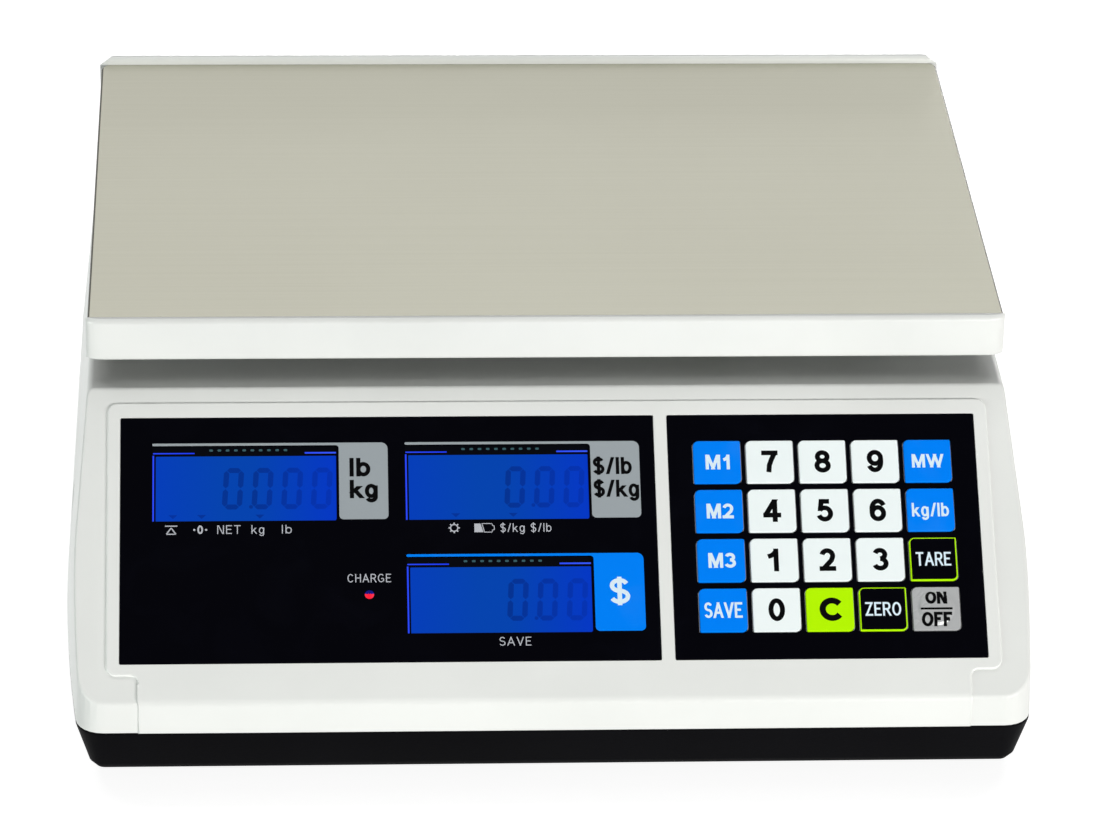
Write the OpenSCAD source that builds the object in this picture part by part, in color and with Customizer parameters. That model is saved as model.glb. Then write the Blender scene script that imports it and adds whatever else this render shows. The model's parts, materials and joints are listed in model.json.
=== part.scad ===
// Retail price scale: a counter scale with a sloping display and keypad panel, a stainless
// platter carried by a single-point load cell, a customer display behind and levelling feet.
// Millimetres, +Z up, +Y to the back. The origin lies on the table under the middle of the body.

/* [Body] */
// Width over the parting line of the two housings
body_w = 350; // [330:1:380]
// Depth from the front panel's apron to the rear wall
body_d = 328.5; // [310:0.5:360]
// How far each curved flank draws in towards the front
flank_draw = 6.75; // [3:0.25:10]
// Length of each curved flank
flank_len = 121; // [90:1:160]
// Radius of the upright corners
corner_r = 10; // [8:0.5:14]
// How far each side wall leans in at deck height
side_lean = 9; // [4:0.5:14]
// Radius along the deck's edges
deck_edge_r = 2.5; // [1.5:0.5:7]
// How far the rear wall leans in at deck height
rear_lean = 6; // [3:0.5:10]
// Height of the black base
base_h = 18.5; // [15:0.5:24]
// How far the base draws in towards its underside
base_taper = 5.3; // [3:0.1:7]
// Radius along the base's lower edge
base_edge_r = 3; // [2:0.5:4]
// Height of the upright skirt below the slope
skirt_h = 12.1; // [10:0.1:18]
// Angle of the slope to the table
slope_angle = 38; // [32:0.5:44]
// Length of the slope from skirt to ridge
slope_len = 120.7; // [115:0.1:130]
// Wall thickness of both housings
wall = 2.5; // [2:0.1:3]
// Wall thickness under the front panel
panel_wall = 4; // [3.5:0.1:6]
// Floor thickness of the base
floor_t = 3; // [2.5:0.1:4]
// Height of the rim that centres the upper housing on the base
rim_h = 4; // [2:0.5:5]
// Thickness of that rim
rim_t = 1.5; // [1:0.1:2.5]

/* [Front panel] */
// Strip of slope at each side of the raised panel, at deck width
panel_side = 7.8; // [5:0.1:10]
// Height of the raised panel along the slope
panel_h = 103.9; // [100:0.1:106]
// Distance up the slope to the panel's shoulders
panel_rise = 10.6; // [6:0.1:12]
// Width of the panel's shoulders at each side of its apron
shoulder_w = 11.35; // [8:0.05:16]
// Thickness of the panel
panel_t = 3; // [2.6:0.1:3.6]
// How far the panel stands proud of the slope
panel_proud = 0.8; // [0.6:0.1:1.2]
// Radius of the panel's corners
panel_r = 3.5; // [1:0.1:5]
// Radius inside the corners between shoulders and apron
shoulder_r = 3; // [1:0.1:5]
// Thickness of the printed overlays
overlay_t = 0.5; // [0.3:0.05:0.6]
// Height of the overlays along the slope
overlay_h = 94.15; // [92:0.05:98]
// Distance from the panel's shoulders up to the overlays
overlay_rise = 4; // [1.5:0.1:5]
// How deep the overlays lie below the panel's face
overlay_sink = 0.1; // [0:0.05:0.2]
// Radius of the overlays' corners
overlay_r = 0.6; // [0.4:0.1:4]
// Strip of panel beside the overlays at each end
overlay_side = 4.625; // [2:0.025:6]
// Width of the keypad overlay
keypad_w = 111.1; // [106:0.1:114]
// Strip of panel between the overlays
overlay_gap = 5; // [3:0.1:7]

/* [Displays] */
// Width of each display window
lcd_w = 65.6; // [60:0.1:68]
// Height of each display window
lcd_h = 29; // [24:0.1:32]
// Border of the display glass that hides behind the overlay
lcd_border = 2; // [1:0.1:3]
// Thickness of the display glass
lcd_t = 2.8; // [2:0.1:4]
// Thickness of the light guide behind each display
backlight_t = 4; // [3:0.1:6]
// Middle of the weight display from the overlay's left edge
lcd_left = 44.1; // [40:0.1:48]
// Middle of the price displays from the overlay's right edge
lcd_right = 56.75; // [51:0.05:63]
// Middle of the upper displays above the overlay's lower edge
lcd_upper = 68.7; // [64:0.1:72]
// Middle of the lower display above the overlay's lower edge
lcd_lower = 25.4; // [22:0.1:28]
// Diameter of the charge light
led_d = 3; // [2:0.1:5]
// Charge light left of the middle of the price displays
led_x = 46.1; // [42:0.1:50]
// Charge light above the overlay's lower edge
led_y = 25.7; // [22:0.1:30]
// Thickness of the circuit boards
pcb_t = 1.6; // [1:0.1:2]
// Margin of the display board inside the overlay's outline
display_board_margin = 4; // [2:0.5:6]

/* [Keypad] */
// Distance between key centres
key_pitch = 19; // [18.2:0.1:19.6]
// Width of a key
key_w = 17; // [15:0.1:17.6]
// Height of a key
key_h = 16.6; // [15:0.1:17.6]
// Radius of a key's two round corners
key_r = 2.1; // [1:0.1:6]
// Radius of a key's two tight corners
key_tight_r = 0.5; // [0.3:0.1:2]
// Thickness of a key plate
key_t = 1.4; // [1.1:0.1:1.7]
// How far a key stands above the overlay
key_proud = 0.4; // [0.2:0.05:0.6]
// Travel of a key
key_travel = 0.4; // [0.2:0.05:0.5]
// Clearance round a key
key_gap = 0.3; // [0.2:0.05:0.5]
// Diameter of a snap dome
dome_d = 10; // [6:0.5:12]
// Diameter of the flat on top of a dome
dome_top_d = 4; // [2:0.5:5]
// Thickness of the sheet that carries the domes
dome_sheet_t = 0.15; // [0.1:0.05:0.2]
// Thickness of the keypad circuit
circuit_t = 0.3; // [0.2:0.05:0.4]
// Margin of the keypad circuit round the keys
circuit_margin = 2; // [1:0.5:4]

/* [Platter] */
// How far the tray's lips reach past the sheet at each side
lip_over = 0.75; // [0.25:0.25:3]
// Width of the stainless sheet
steel_w = 331; // [320:0.5:331]
// Depth of the stainless sheet
steel_d = 215.5; // [205:0.5:222]
// Thickness of the stainless sheet
steel_t = 1; // [0.6:0.1:1.5]
// Height of the sheet's side flanges
steel_flange_h = 10; // [6:0.5:12]
// Height of the tray's front lip
lip_h = 16.2; // [14:0.1:22]
// Thickness of the front lip
lip_t = 2.9; // [2:0.1:4]
// Radius of the lips' upright corners
lip_r = 5; // [3:0.5:8]
// Height of the rear lip above the sheet
rear_lip_rise = 2.9; // [1:0.1:6]
// Thickness of the rear lip
rear_lip_t = 3.9; // [2.5:0.1:5]
// Thickness of the tray's plate
tray_t = 2.5; // [2:0.1:3.5]
// Depth of the ribs under the tray
rib_h = 5; // [3:0.5:7]
// Thickness of the ribs under the tray
rib_t = 2; // [1.5:0.1:3]
// Distance from the ridge back to the front lip
lip_setback = 7.6; // [5:0.1:11]
// Gap between the lips and the deck
tray_gap = 7.3; // [5:0.1:10]

/* [Weighing] */
// Length of the load cell
cell_l = 130; // [120:1:140]
// Width of the load cell
cell_w = 30; // [24:1:34]
// Height of the load cell
cell_h = 22; // [20:1:26]
// Radius of the two holes that form the flexures
flexure_r = 8; // [6:0.1:9]
// Distance between the flexure holes
flexure_pitch = 26; // [22:0.5:30]
// Diameter of the load cell's bolts
cell_bolt_d = 6; // [5:0.5:6]
// Distance between each pair of bolts
cell_bolt_pitch = 25; // [20:0.5:28]
// Distance from the cell's end to its first bolt
cell_bolt_inset = 10; // [8:0.5:14]
// Depth of the bolts in the cell
cell_bolt_depth = 12; // [8:0.5:14]
// Travel of the cell's free end before the stop
cell_travel = 0.5; // [0.3:0.05:0.8]
// Platter posts from the sheet's side edges
post_side = 45; // [30:0.5:60]
// Platter posts from the sheet's front and rear edges
post_end = 35.75; // [25:0.25:50]
// Diameter of the platter posts
post_d = 14; // [12:0.5:16]
// Clearance round each post in the deck
post_clear = 5; // [3:0.5:8]
// Width of the bracket's arms
arm_w = 18; // [14:0.5:24]
// Height of the bracket's arms
arm_h = 8; // [6:0.5:10]
// Height of the bracket's hub over the cell
hub_h = 4; // [3:0.5:6]
// Gap from the bracket's arms to the deck's underside
arm_clear = 6; // [4:0.5:10]
// Diameter of the rubber pads on the posts
pad_d = 16; // [15:0.5:18]
// Thickness of the rubber pads
pad_t = 3; // [2:0.5:4]
// Wall of the sockets under the tray that sit over the pads
socket_wall = 2; // [1.5:0.5:3]
// Wall of the cell's pedestal
pedestal_wall = 8; // [7.5:0.5:9]
// Thickness of the pedestal's top
pedestal_top = 10; // [8:0.5:14]
// Diameter of the overload stop's pillar
stop_d = 12; // [10:0.5:16]

/* [Feet] */
// Gap between the base and the table
foot_gap = 4.5; // [3:0.1:8]
// Diameter of a foot
foot_d = 30; // [24:0.5:36]
// Depth of the pockets that the feet screw up into
foot_pocket = 6; // [4:0.5:8]
// Travel of a foot
foot_travel = 6; // [3:0.5:8]
// Diameter of a foot's stud
stud_d = 8; // [6:0.5:10]
// Length of stud that stays in the base at full travel
stud_hold = 14; // [8:0.5:18]
// Feet from the body's sides
foot_side = 35; // [31:0.5:43]
// Feet from the body's front and rear
foot_end = 35.75; // [32:0.25:42]

/* [Battery] */
// Size of the battery along X
battery_w = 70; // [60:1:72]
// Size of the battery along Y
battery_l = 101; // [80:1:103]
// Height of the battery
battery_h = 47; // [40:1:55]
// Middle of the battery from the body's left side
battery_side = 57; // [56:0.5:61]
// Middle of the battery from the body's rear
battery_back = 113.75; // [112:0.25:118]
// Room round the battery in its well
battery_room = 1; // [0.3:0.1:1.2]
// Wall of the battery's well
well_t = 2; // [1.5:0.1:2.4]
// Height of the battery's well above the floor
well_h = 20; // [10:1:30]
// Ledge that the battery cover seats on
cover_ledge = 3; // [2:0.1:3.5]
// Thickness of the battery cover
cover_t = 2.5; // [2:0.1:3]
// Width of the cover's screw tab
cover_tab_w = 16; // [12:0.5:24]
// Length of the cover's screw tab
cover_tab_l = 10; // [9:0.5:12]

/* [Electronics] */
// Size of the main board along X
main_w = 120; // [100:1:124]
// Size of the main board along Y
main_d = 90; // [80:1:94]
// Middle of the main board from the body's right side
main_side = 125; // [119:1:129]
// Middle of the main board from the body's front
main_front = 138; // [133:1:141]
// Height of the main board's standoffs
standoff_h = 6.5; // [5:0.5:10]
// Diameter of the standoffs
standoff_d = 7; // [6:0.5:8]
// Distance from a board's edges to its screws
screw_inset = 5; // [4.5:0.5:7]
// Diameter of the board screws
board_screw_d = 3; // [2.5:0.1:3.5]
// Diameter of the housing screws
case_screw_d = 4; // [3:0.5:4]
// Diameter of the housing's screw columns
column_d = 9; // [8:0.5:10]
// Screw columns from the body's sides
column_side = 17; // [16:0.5:18]
// Front screw columns from the body's front
column_front = 58; // [53:0.5:65]
// Rear screw columns from the body's rear
column_back = 51.75; // [49.75:0.25:53.75]
// Power inlet from the body's front
jack_front = 154; // [149:0.5:154]
// Height of the power inlet above the parting line
jack_rise = 8.5; // [7:0.5:12]
// Diameter of the power inlet's barrel
jack_d = 10; // [9:0.5:12]
// Bore of the power inlet
jack_bore = 6.2; // [5.5:0.1:7]
// Depth of the power inlet's bore
jack_depth = 9.5; // [8:0.5:10]
// Diameter of the pin in the power inlet
jack_pin_d = 2; // [1.5:0.1:2.5]
// Diameter of the cell's lead
lead_d = 4; // [3:0.5:4]
// Width of the ribbon between the boards
ribbon_w = 20; // [12:1:24]
// Thickness of the ribbon
ribbon_t = 1; // [0.6:0.1:1.5]
// Diameter of the bubble level
vial_d = 16; // [12:0.5:20]
// Bubble level from the body's right side
vial_side = 115; // [95:1:135]
// Bubble level behind the ridge
vial_back = 48.7; // [40.7:0.5:58.7]

/* [Customer display] */
// Width of the rear overlay
rear_w = 214; // [208:0.5:230]
// Height of the rear overlay
rear_h = 48; // [44:0.5:54]
// Height of the rear overlay above the parting line
rear_rise = 22; // [16:0.5:26]
// Width of each rear display window
rear_lcd_w = 56; // [50:0.5:58]
// Height of each rear display window
rear_lcd_h = 24; // [20:0.5:28]
// Distance between the rear displays
rear_pitch = 67; // [65:0.5:70]

/* [Fit] */
// Clearance between fitted pieces
fit_gap = 0.15; // [0.1:0.05:0.25]
// Clearance between pieces that move past each other
slide_gap = 0.3; // [0.2:0.05:0.5]
// Radial clearance of a stud or screw in its thread
thread_gap = 0.05; // [0.02:0.01:0.08]

/* [Hidden] */
$fn = 48;
arc_n = 6;
flank_n = 10;
reach = 1000;
land = 1;

// Heights and depths that follow from the body
front_y = -body_d / 2 + panel_proud;
rear_y = body_d / 2;
parting_z = foot_gap + base_h;
floor_z = foot_gap + floor_t;
slope_z0 = parting_z + skirt_h;
ridge_y = front_y + slope_len * cos(slope_angle);
deck_z = slope_z0 + slope_len * sin(slope_angle);
rear_angle = atan(rear_lean / (deck_z - parting_z));
rim_inset = wall + fit_gap + rim_h * max(side_lean, rear_lean) / (deck_z - parting_z);

// Widths that follow from the body's
deck_w = body_w - 2 * side_lean;
panel_w = deck_w - 2 * panel_side;
apron_w = panel_w - 2 * shoulder_w;
display_w = panel_w - 2 * overlay_side - overlay_gap - keypad_w;

// Curved flanks of the plan outline
flank_r = (flank_len * flank_len + flank_draw * flank_draw) / (2 * flank_draw);
flank_x = body_w / 2 - flank_r;
flank_y = front_y + flank_len;

// Layers of the front panel, measured along its normal from the slope's surface
panel_back = panel_proud - panel_t;
overlay_top = panel_proud - overlay_sink;
overlay_back = overlay_top - overlay_t;
lcd_back = overlay_back - lcd_t;
board_front = lcd_back - backlight_t;
key_top = overlay_top + key_proud;
key_back = key_top - key_t;
dome_rest = 0.02;
dome_over_travel = 0.1;
dome_h = key_travel + dome_over_travel;
dome_foot = key_back - dome_rest - dome_h;
circuit_front = dome_foot - dome_sheet_t;
circuit_back = circuit_front - circuit_t;

// Overlays, from their left edges and up the slope
overlay_u = panel_rise + overlay_rise;
display_x = -(display_w + overlay_gap + keypad_w) / 2;
keypad_x = display_x + display_w + overlay_gap;
keypad_mid = [keypad_x + keypad_w / 2, overlay_u + overlay_h / 2];
price_x = display_x + display_w - lcd_right;
lcd_mid = [
    [display_x + lcd_left, overlay_u + lcd_upper],
    [price_x, overlay_u + lcd_upper],
    [price_x, overlay_u + lcd_lower]
];
led_at = [price_x - led_x, overlay_u + led_y];
key_cols = 5;
key_rows = 4;
circuit_w = (key_cols - 1) * key_pitch + key_w + 2 * circuit_margin;
circuit_h = (key_rows - 1) * key_pitch + key_h + 2 * circuit_margin;
display_mid = [display_x + display_w / 2, overlay_u + overlay_h / 2];
display_board_w = display_w - 2 * display_board_margin;
display_board_h = overlay_h - 2 * display_board_margin;
display_opening_margin = 1;
post_root = 0.4;

// Platter
lip_front_y = ridge_y + lip_setback;
steel_front_y = lip_front_y + lip_t;
steel_rear_y = steel_front_y + steel_d;
tray_w = steel_w + 2 * lip_over;
tray_d = lip_t + steel_d + rear_lip_t;
tray_y = lip_front_y + tray_d / 2;
lip_z = deck_z + tray_gap;
steel_z = lip_z + lip_h;
tray_top = steel_z - steel_t;
tray_under = tray_top - tray_t;

// Weighing parts, on the middle of the platter
cell_y = tray_y;
arm_z = deck_z - wall - arm_clear - arm_h;
arm_end_d = arm_w + 4;
cell_top = arm_z - hub_h;
cell_z = cell_top - cell_h;
cell_bolt_mid = cell_l / 2 - cell_bolt_inset - cell_bolt_pitch / 2;
bolt_head_d = cell_bolt_d * 1.7;
bolt_head_h = cell_bolt_d * 0.9;
pedestal_room = 1.5;
pedestal_l = cell_bolt_pitch + bolt_head_d + 2 * pedestal_room + 2 * pedestal_wall;
pedestal_w = bolt_head_d + pedestal_room + 2 * pedestal_wall;
seat_h = 4;
seat_z = floor_z + seat_h;
stop_x = cell_l / 2 - stop_d / 2;
stop_gap = cell_travel + slide_gap;
stop_screw_h = 8;
post_x = steel_w / 2 - post_side;
post_y = steel_d / 2 - post_end;
post_places = [for (x = [-1, 1], y = [-1, 1]) [x * post_x, cell_y + y * post_y]];

// Feet
foot_x = body_w / 2 - foot_side;
foot_y = body_d / 2 - foot_end;
foot_top = foot_gap + foot_pocket - slide_gap;
pocket_top = foot_gap + foot_pocket;
stud_len = foot_travel + stud_hold;
boss_d = foot_d + 2 * slide_gap + 2 * wall;
stud_boss_d = stud_d + 4 * wall;
stud_boss_top = foot_top + stud_len + wall;
foot_chamfer = 1;

// Screws
case_head_d = case_screw_d * 1.8;
case_head_h = case_screw_d * 0.65;
case_screw_bite = 14;
column_bite = 16;
pedestal_bite = 12;
cover_bite = 5;
head_sink_z = parting_z - 7;
screw_column = [for (x = [-1, 1], y = [front_y + column_front, rear_y - column_back])
    [x * (body_w / 2 - column_side), y]];
board_head_d = board_screw_d * 1.9;
board_head_h = board_screw_d * 0.7;
board_bite = 3;

// Battery and its cover
battery_x = battery_side - body_w / 2;
battery_y = rear_y - battery_back;
well_w = battery_w + 2 * battery_room;
well_l = battery_l + 2 * battery_room;
cover_w = well_w + 2 * cover_ledge;
cover_l = well_l + 2 * cover_ledge;
frame_z = floor_z + cover_t;
battery_z = foot_gap + cover_t;
cover_head_h = cover_t - land;
cover_tab_top = battery_z + cover_bite + land;
terminal_d = 6;
terminal_h = 5;

// Boards
main_x = body_w / 2 - main_side;
main_y = front_y + main_front;
main_z = floor_z + standoff_h;
main_top = main_z + pcb_t;
main_corner = [for (x = [-1, 1], y = [-1, 1])
    [main_x + x * (main_w / 2 - screw_inset), main_y + y * (main_d / 2 - screw_inset)]];
header_h = 6;
header_d = 8;
lead_header_w = 12;
chip_w = 18;
chip_h = 2.5;
memory_w = 12;
memory_d = 8;
memory_h = 3;
can_d = 8;
can_h = 12;
can_pitch = 11;
resistor_w = 5;
resistor_d = 2.5;
resistor_h = 1.6;
resistor_pitch = 8;
display_corner = [for (p = [[-1, -1], [-1, 0], [1, -1], [1, 1]])
    [p[0] * (display_board_w / 2 - screw_inset), p[1] * (display_board_h / 2 - screw_inset)]];
ribbon_x = display_mid[0] + display_board_w / 2 - 2 * screw_inset - ribbon_w;
ribbon_u = overlay_u + overlay_h / 2;
ribbon_header_n = board_front - pcb_t - header_h;
main_header_y = main_y - main_d / 2 + 2 * screw_inset;

// Power inlet
jack_y = front_y + jack_front;
jack_z = parting_z + jack_rise;
wall_x = body_w / 2 - (body_w - deck_w) / 2 * jack_rise / (deck_z - parting_z);
jack_face_x = wall_x - 0.5;
jack_body_x = wall_x - wall - 1;
jack_body_l = jack_depth + 1.5;

// Bubble level
vial_x = body_w / 2 - vial_side;
vial_y = ridge_y + vial_back;
vial_h = 7;
vial_rim = 2;
vial_rim_h = 1;

// Customer display
rear_mid = rear_rise + rear_h / 2;
rear_board_w = 2 * rear_pitch + rear_lcd_w + 2 * lcd_border;
rear_board_h = rear_h - 4 * wall;
rear_lcd_top = -overlay_t - overlay_sink;
rear_lcd_back = rear_lcd_top - lcd_t;
rear_post_x = rear_pitch / 2;

KEYS = [
    "key_m1", "key_7", "key_8", "key_9", "key_mw",
    "key_m2", "key_4", "key_5", "key_6", "key_unit",
    "key_m3", "key_1", "key_2", "key_3", "key_tare",
    "key_save", "key_0", "key_clear", "key_zero", "key_power"
];
KEY_COLOURS = [
    "dodgerblue", "white", "white", "white", "dodgerblue",
    "dodgerblue", "white", "white", "white", "dodgerblue",
    "dodgerblue", "white", "white", "white", "black",
    "dodgerblue", "white", "lawngreen", "black", "darkgray"
];
FEET = [
    ["foot_front_left", [-foot_x, -foot_y]],
    ["foot_front_right", [foot_x, -foot_y]],
    ["foot_rear_left", [-foot_x, foot_y]],
    ["foot_rear_right", [foot_x, foot_y]]
];
LCDS = ["lcd_weight", "lcd_unit_price", "lcd_total_price"];

// Outline helpers

function unit(v) = v / norm(v);

// Points of a round corner of radius r at b, between the points a and c
function corner(a, b, c, r) =
    let (
        p = unit(a - b),
        q = unit(c - b),
        half = acos(p * q) / 2,
        mid = b + unit(p + q) * r / sin(half),
        s = b + p * r / tan(half) - mid,
        e = b + q * r / tan(half) - mid,
        turn = 180 - 2 * half
    )
    [for (i = [0:arc_n])
        mid + (s * sin(turn * (1 - i / arc_n)) + e * sin(turn * i / arc_n)) / sin(turn)];

// An outline with each corner rounded by its own radius
function rounded(pts, radii) =
    let (n = len(pts))
    [for (i = [0:n - 1]) each corner(pts[(i + n - 1) % n], pts[i], pts[(i + 1) % n], radii[i])];

function box_points(w, h) =
    [[-w / 2, -h / 2], [w / 2, -h / 2], [w / 2, h / 2], [-w / 2, h / 2]];

function arc(x, y, r, a, b, first, n) =
    [for (i = [first:n]) [x + r * cos(a + (b - a) * i / n), y + r * sin(a + (b - a) * i / n)]];

// Right half of the body's plan at the parting line, drawn in by t
function half_plan(t) =
    let (
        r = max(corner_r - t, 0.5),
        mid_y = front_y + corner_r,
        mid_x = flank_x + sqrt(pow(flank_r - corner_r, 2) - pow(flank_y - mid_y, 2)),
        turn = asin((mid_y - flank_y) / (flank_r - corner_r))
    )
    concat(
        arc(mid_x, mid_y, r, -90, turn, 0, arc_n),
        arc(flank_x, flank_y, flank_r - t, turn, 0, 1, flank_n),
        arc(body_w / 2 - corner_r, rear_y - corner_r, r, 0, 90, 0, arc_n)
    );

function plan_points(t) =
    let (half = half_plan(t))
    concat(half, [for (i = [len(half) - 1:-1:0]) [-half[i][0], half[i][1]]]);

// Place of a point u up the slope and n out of it, as [y, z]
function slope_point(u, n) = [
    front_y + u * cos(slope_angle) - n * sin(slope_angle),
    slope_z0 + u * sin(slope_angle) + n * cos(slope_angle)
];

// Height of the plane n out of the slope, above the depth y
function slope_height(y, n) = slope_z0 + (y - front_y) * tan(slope_angle) + n / cos(slope_angle);

// Outline of a strip of thickness t along points, mitred where it bends
function strip_side(p, t) = [for (i = [0:len(p) - 1])
    let (
        a = unit(p[max(i, 1)] - p[max(i, 1) - 1]),
        b = unit(p[min(i + 1, len(p) - 1)] - p[min(i, len(p) - 2)]),
        mid = unit(a + b)
    )
    p[i] + [-mid[1], mid[0]] * t / 2 / (mid * a)];

function strip(p, t) =
    let (far = strip_side(p, -t))
    concat(strip_side(p, t), [for (i = [len(p) - 1:-1:0]) far[i]]);

module round_plate(w, h, r) polygon(rounded(box_points(w, h), [r, r, r, r]));

module key_plate(grow) polygon(rounded(
    box_points(key_w + 2 * grow, key_h + 2 * grow),
    [key_tight_r + grow, key_r + grow, key_tight_r + grow, key_r + grow]
));

module plan_slab(t, z, h) translate([0, 0, z]) linear_extrude(h) polygon(plan_points(t));

// Frames for the slope and for the rear wall: x across, y up the surface, z out of it
module on_slope(n = 0) {
    p = slope_point(0, n);
    translate([0, p[0], p[1]]) rotate([slope_angle, 0, 0]) children();
}

module on_rear(n = 0)
    translate([0, rear_y, parting_z]) rotate([90 - rear_angle, 0, 180]) translate([0, 0, n]) children();

module at_overlay(mid, n, t) on_slope(n) translate(mid) linear_extrude(t) children();

// A screw that points down, with its head seated on the plane z = 0
module screw(d, bite, head_d, head_h) {
    cylinder(d = head_d, h = head_h);
    translate([0, 0, -bite]) cylinder(d = d, h = bite);
}

// A round lead along points in space
module lead_run(points, d)
    for (i = [0:len(points) - 2]) {
        step = points[i + 1] - points[i];
        translate(points[i])
            rotate([0, acos(step[2] / norm(step)), atan2(step[1], step[0])])
                cylinder(d = d, h = norm(step));
        if (i > 0) translate(points[i]) sphere(d = d);
    }

// Housings

// Space over the slope, n out of it
module above_slope(n) on_slope(n) translate([-reach / 2, -reach / 2, 0]) cube(reach);

// Round-edged puck at one corner of the deck
module deck_puck(t) {
    edge = max(deck_edge_r - t, 0.5);
    rotate_extrude($fn = 32)
        polygon(concat([[0, 0]], arc(corner_r - t - edge, 0, edge, 0, 90, 0, arc_n), [[0, edge]]));
}

// Upper housing as a solid, drawn in by t and reaching sink below the parting line
module case_block(t, sink) hull() {
    plan_slab(t, parting_z - sink, sink + land);
    for (x = [-1, 1], y = [front_y + corner_r, rear_y - rear_lean - corner_r])
        translate([x * (deck_w / 2 - corner_r), y, deck_z - t - max(deck_edge_r - t, 0.5)])
            deck_puck(t);
}

module case_outer() difference() {
    case_block(0, 0);
    above_slope(0);
}

module case_cavity() difference() {
    case_block(wall, land);
    above_slope(-panel_wall);
    translate([-reach / 2, front_y + panel_wall - reach, -reach / 2]) cube(reach);
}

// Outline of the panel on the slope, with the top of its apron, grown all round
function panel_points(grow) =
    let (
        a = apron_w / 2 + grow,
        w = panel_w / 2 + grow,
        low = panel_rise - grow - shoulder_r - land,
        mid = panel_rise - grow,
        top = panel_rise + panel_h + grow,
        half = concat(
            [[a, low]],
            corner([a, low], [a, mid], [w, mid], shoulder_r),
            corner([a, mid], [w, mid], [w, top], panel_r),
            corner([w, mid], [w, top], [-w, top], panel_r)
        )
    )
    concat(half, [for (i = [len(half) - 1:-1:0]) [-half[i][0], half[i][1]]]);

// The front panel as a solid, or its pocket when grown
module panel_solid(grow) {
    shoulder = panel_rise - grow;
    on_slope(panel_back) linear_extrude(panel_t + grow) polygon(panel_points(grow));
    face = front_y - panel_proud - grow;
    back = front_y - panel_back;
    apron = [
        [face, parting_z],
        [back, parting_z],
        [back, slope_height(back, panel_back)],
        slope_point(shoulder + land, panel_back),
        slope_point(shoulder + land, panel_proud + grow),
        [face, slope_height(face, panel_proud + grow)]
    ];
    translate([-apron_w / 2 - grow, 0, 0])
        rotate([90, 0, 90])
            linear_extrude(apron_w + 2 * grow)
                polygon(apron);
}

module screw_columns() for (p = screw_column)
    translate([p[0], p[1], parting_z]) cylinder(d = column_d, h = deck_z - parting_z);

module rear_posts() on_rear(rear_lcd_back) for (x = [-1, 1], y = [-1, 1])
    translate([x * rear_post_x, rear_mid + y * (rear_board_h / 2 - screw_inset), 0])
        cylinder(d = standoff_d, h = lcd_t);

module rear_windows(w, h) for (x = [-1, 0, 1])
    translate([x * rear_pitch, rear_mid]) square([w, h], center = true);

module upper_housing() color("whitesmoke") difference() {
    case_outer();
    difference() {
        case_cavity();
        screw_columns();
        rear_posts();
    }
    panel_solid(fit_gap);
    on_slope(-panel_wall - land)
        translate(display_mid)
            linear_extrude(panel_wall + land)
                square([
                    display_board_w - 2 * display_opening_margin,
                    display_board_h - 2 * display_opening_margin
                ], center = true);
    for (p = post_places)
        translate([p[0], p[1], deck_z - reach / 2])
            cylinder(d = post_d + 2 * post_clear, h = reach);
    translate([vial_x, vial_y, deck_z - 2 * wall]) cylinder(d = vial_d + 2 * fit_gap, h = 4 * wall);
    for (p = screw_column)
        translate([p[0], p[1], parting_z])
            cylinder(d = case_screw_d + 2 * thread_gap, h = column_bite);
    translate([-body_w / 2 - wall, jack_y, jack_z])
        rotate([0, 90, 0])
            cylinder(d = jack_d + 2 * fit_gap, h = 4 * wall);
    on_rear(-overlay_t - overlay_sink)
        translate([0, rear_mid])
            linear_extrude(2 * wall)
                round_plate(rear_w + 2 * fit_gap, rear_h + 2 * fit_gap, overlay_r);
    on_rear(-2 * wall)
        linear_extrude(2 * wall)
            rear_windows(rear_lcd_w + 2 * lcd_border + 2 * fit_gap, rear_lcd_h + 2 * lcd_border + 2 * fit_gap);
    on_rear(rear_lcd_back - land)
        for (x = [-1, 1], y = [-1, 1])
            translate([x * rear_post_x, rear_mid + y * (rear_board_h / 2 - screw_inset), 0])
                cylinder(d = board_screw_d + 2 * thread_gap, h = land + board_bite - pcb_t);
}

// Base, tapering in towards a rounded lower edge
module base_block() hull() {
    plan_slab(0, parting_z - land, land);
    plan_slab(base_taper * (1 - base_edge_r / base_h), foot_gap + base_edge_r, land / 2);
    plan_slab(base_taper + base_edge_r * 0.6, foot_gap, land / 2);
}

module base_cavity() hull() {
    plan_slab(wall, parting_z, land);
    plan_slab(base_taper * (1 - floor_t / base_h) + wall, floor_z, land);
}

// Ring round the plan between two insets
module plan_ring(outer, inner, z, h) translate([0, 0, z]) linear_extrude(h) difference() {
    polygon(plan_points(outer));
    polygon(plan_points(inner));
}

module base_rim() difference() {
    union() {
        plan_ring(wall - rim_t / 2, rim_inset + rim_t, parting_z - 2 * rim_t, 2 * rim_t);
        plan_ring(rim_inset, rim_inset + rim_t, parting_z - rim_t, rim_t + rim_h);
    }
    translate([-reach / 2, front_y + panel_wall + fit_gap - reach, parting_z]) cube(reach);
    translate([-body_w / 2, jack_y - jack_d, parting_z]) cube([body_w / 2, 2 * jack_d, reach]);
}

module foot_bosses() for (f = FEET) translate(f[1]) {
    translate([0, 0, foot_gap]) cylinder(d = boss_d, h = foot_pocket + wall);
    translate([0, 0, pocket_top]) cylinder(d = stud_boss_d, h = stud_boss_top - pocket_top);
}

module battery_place(z) translate([battery_x, battery_y, z]) children();

// Outline of the battery cover, or its recess when grown
module cover_tab(grow) translate([0, -cover_l / 2 - cover_tab_l / 2 + land / 2])
    square([cover_tab_w + 2 * grow, cover_tab_l + land + 2 * grow], center = true);

module cover_plate(grow) {
    square([cover_w + 2 * grow, cover_l + 2 * grow], center = true);
    cover_tab(grow);
}

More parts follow.
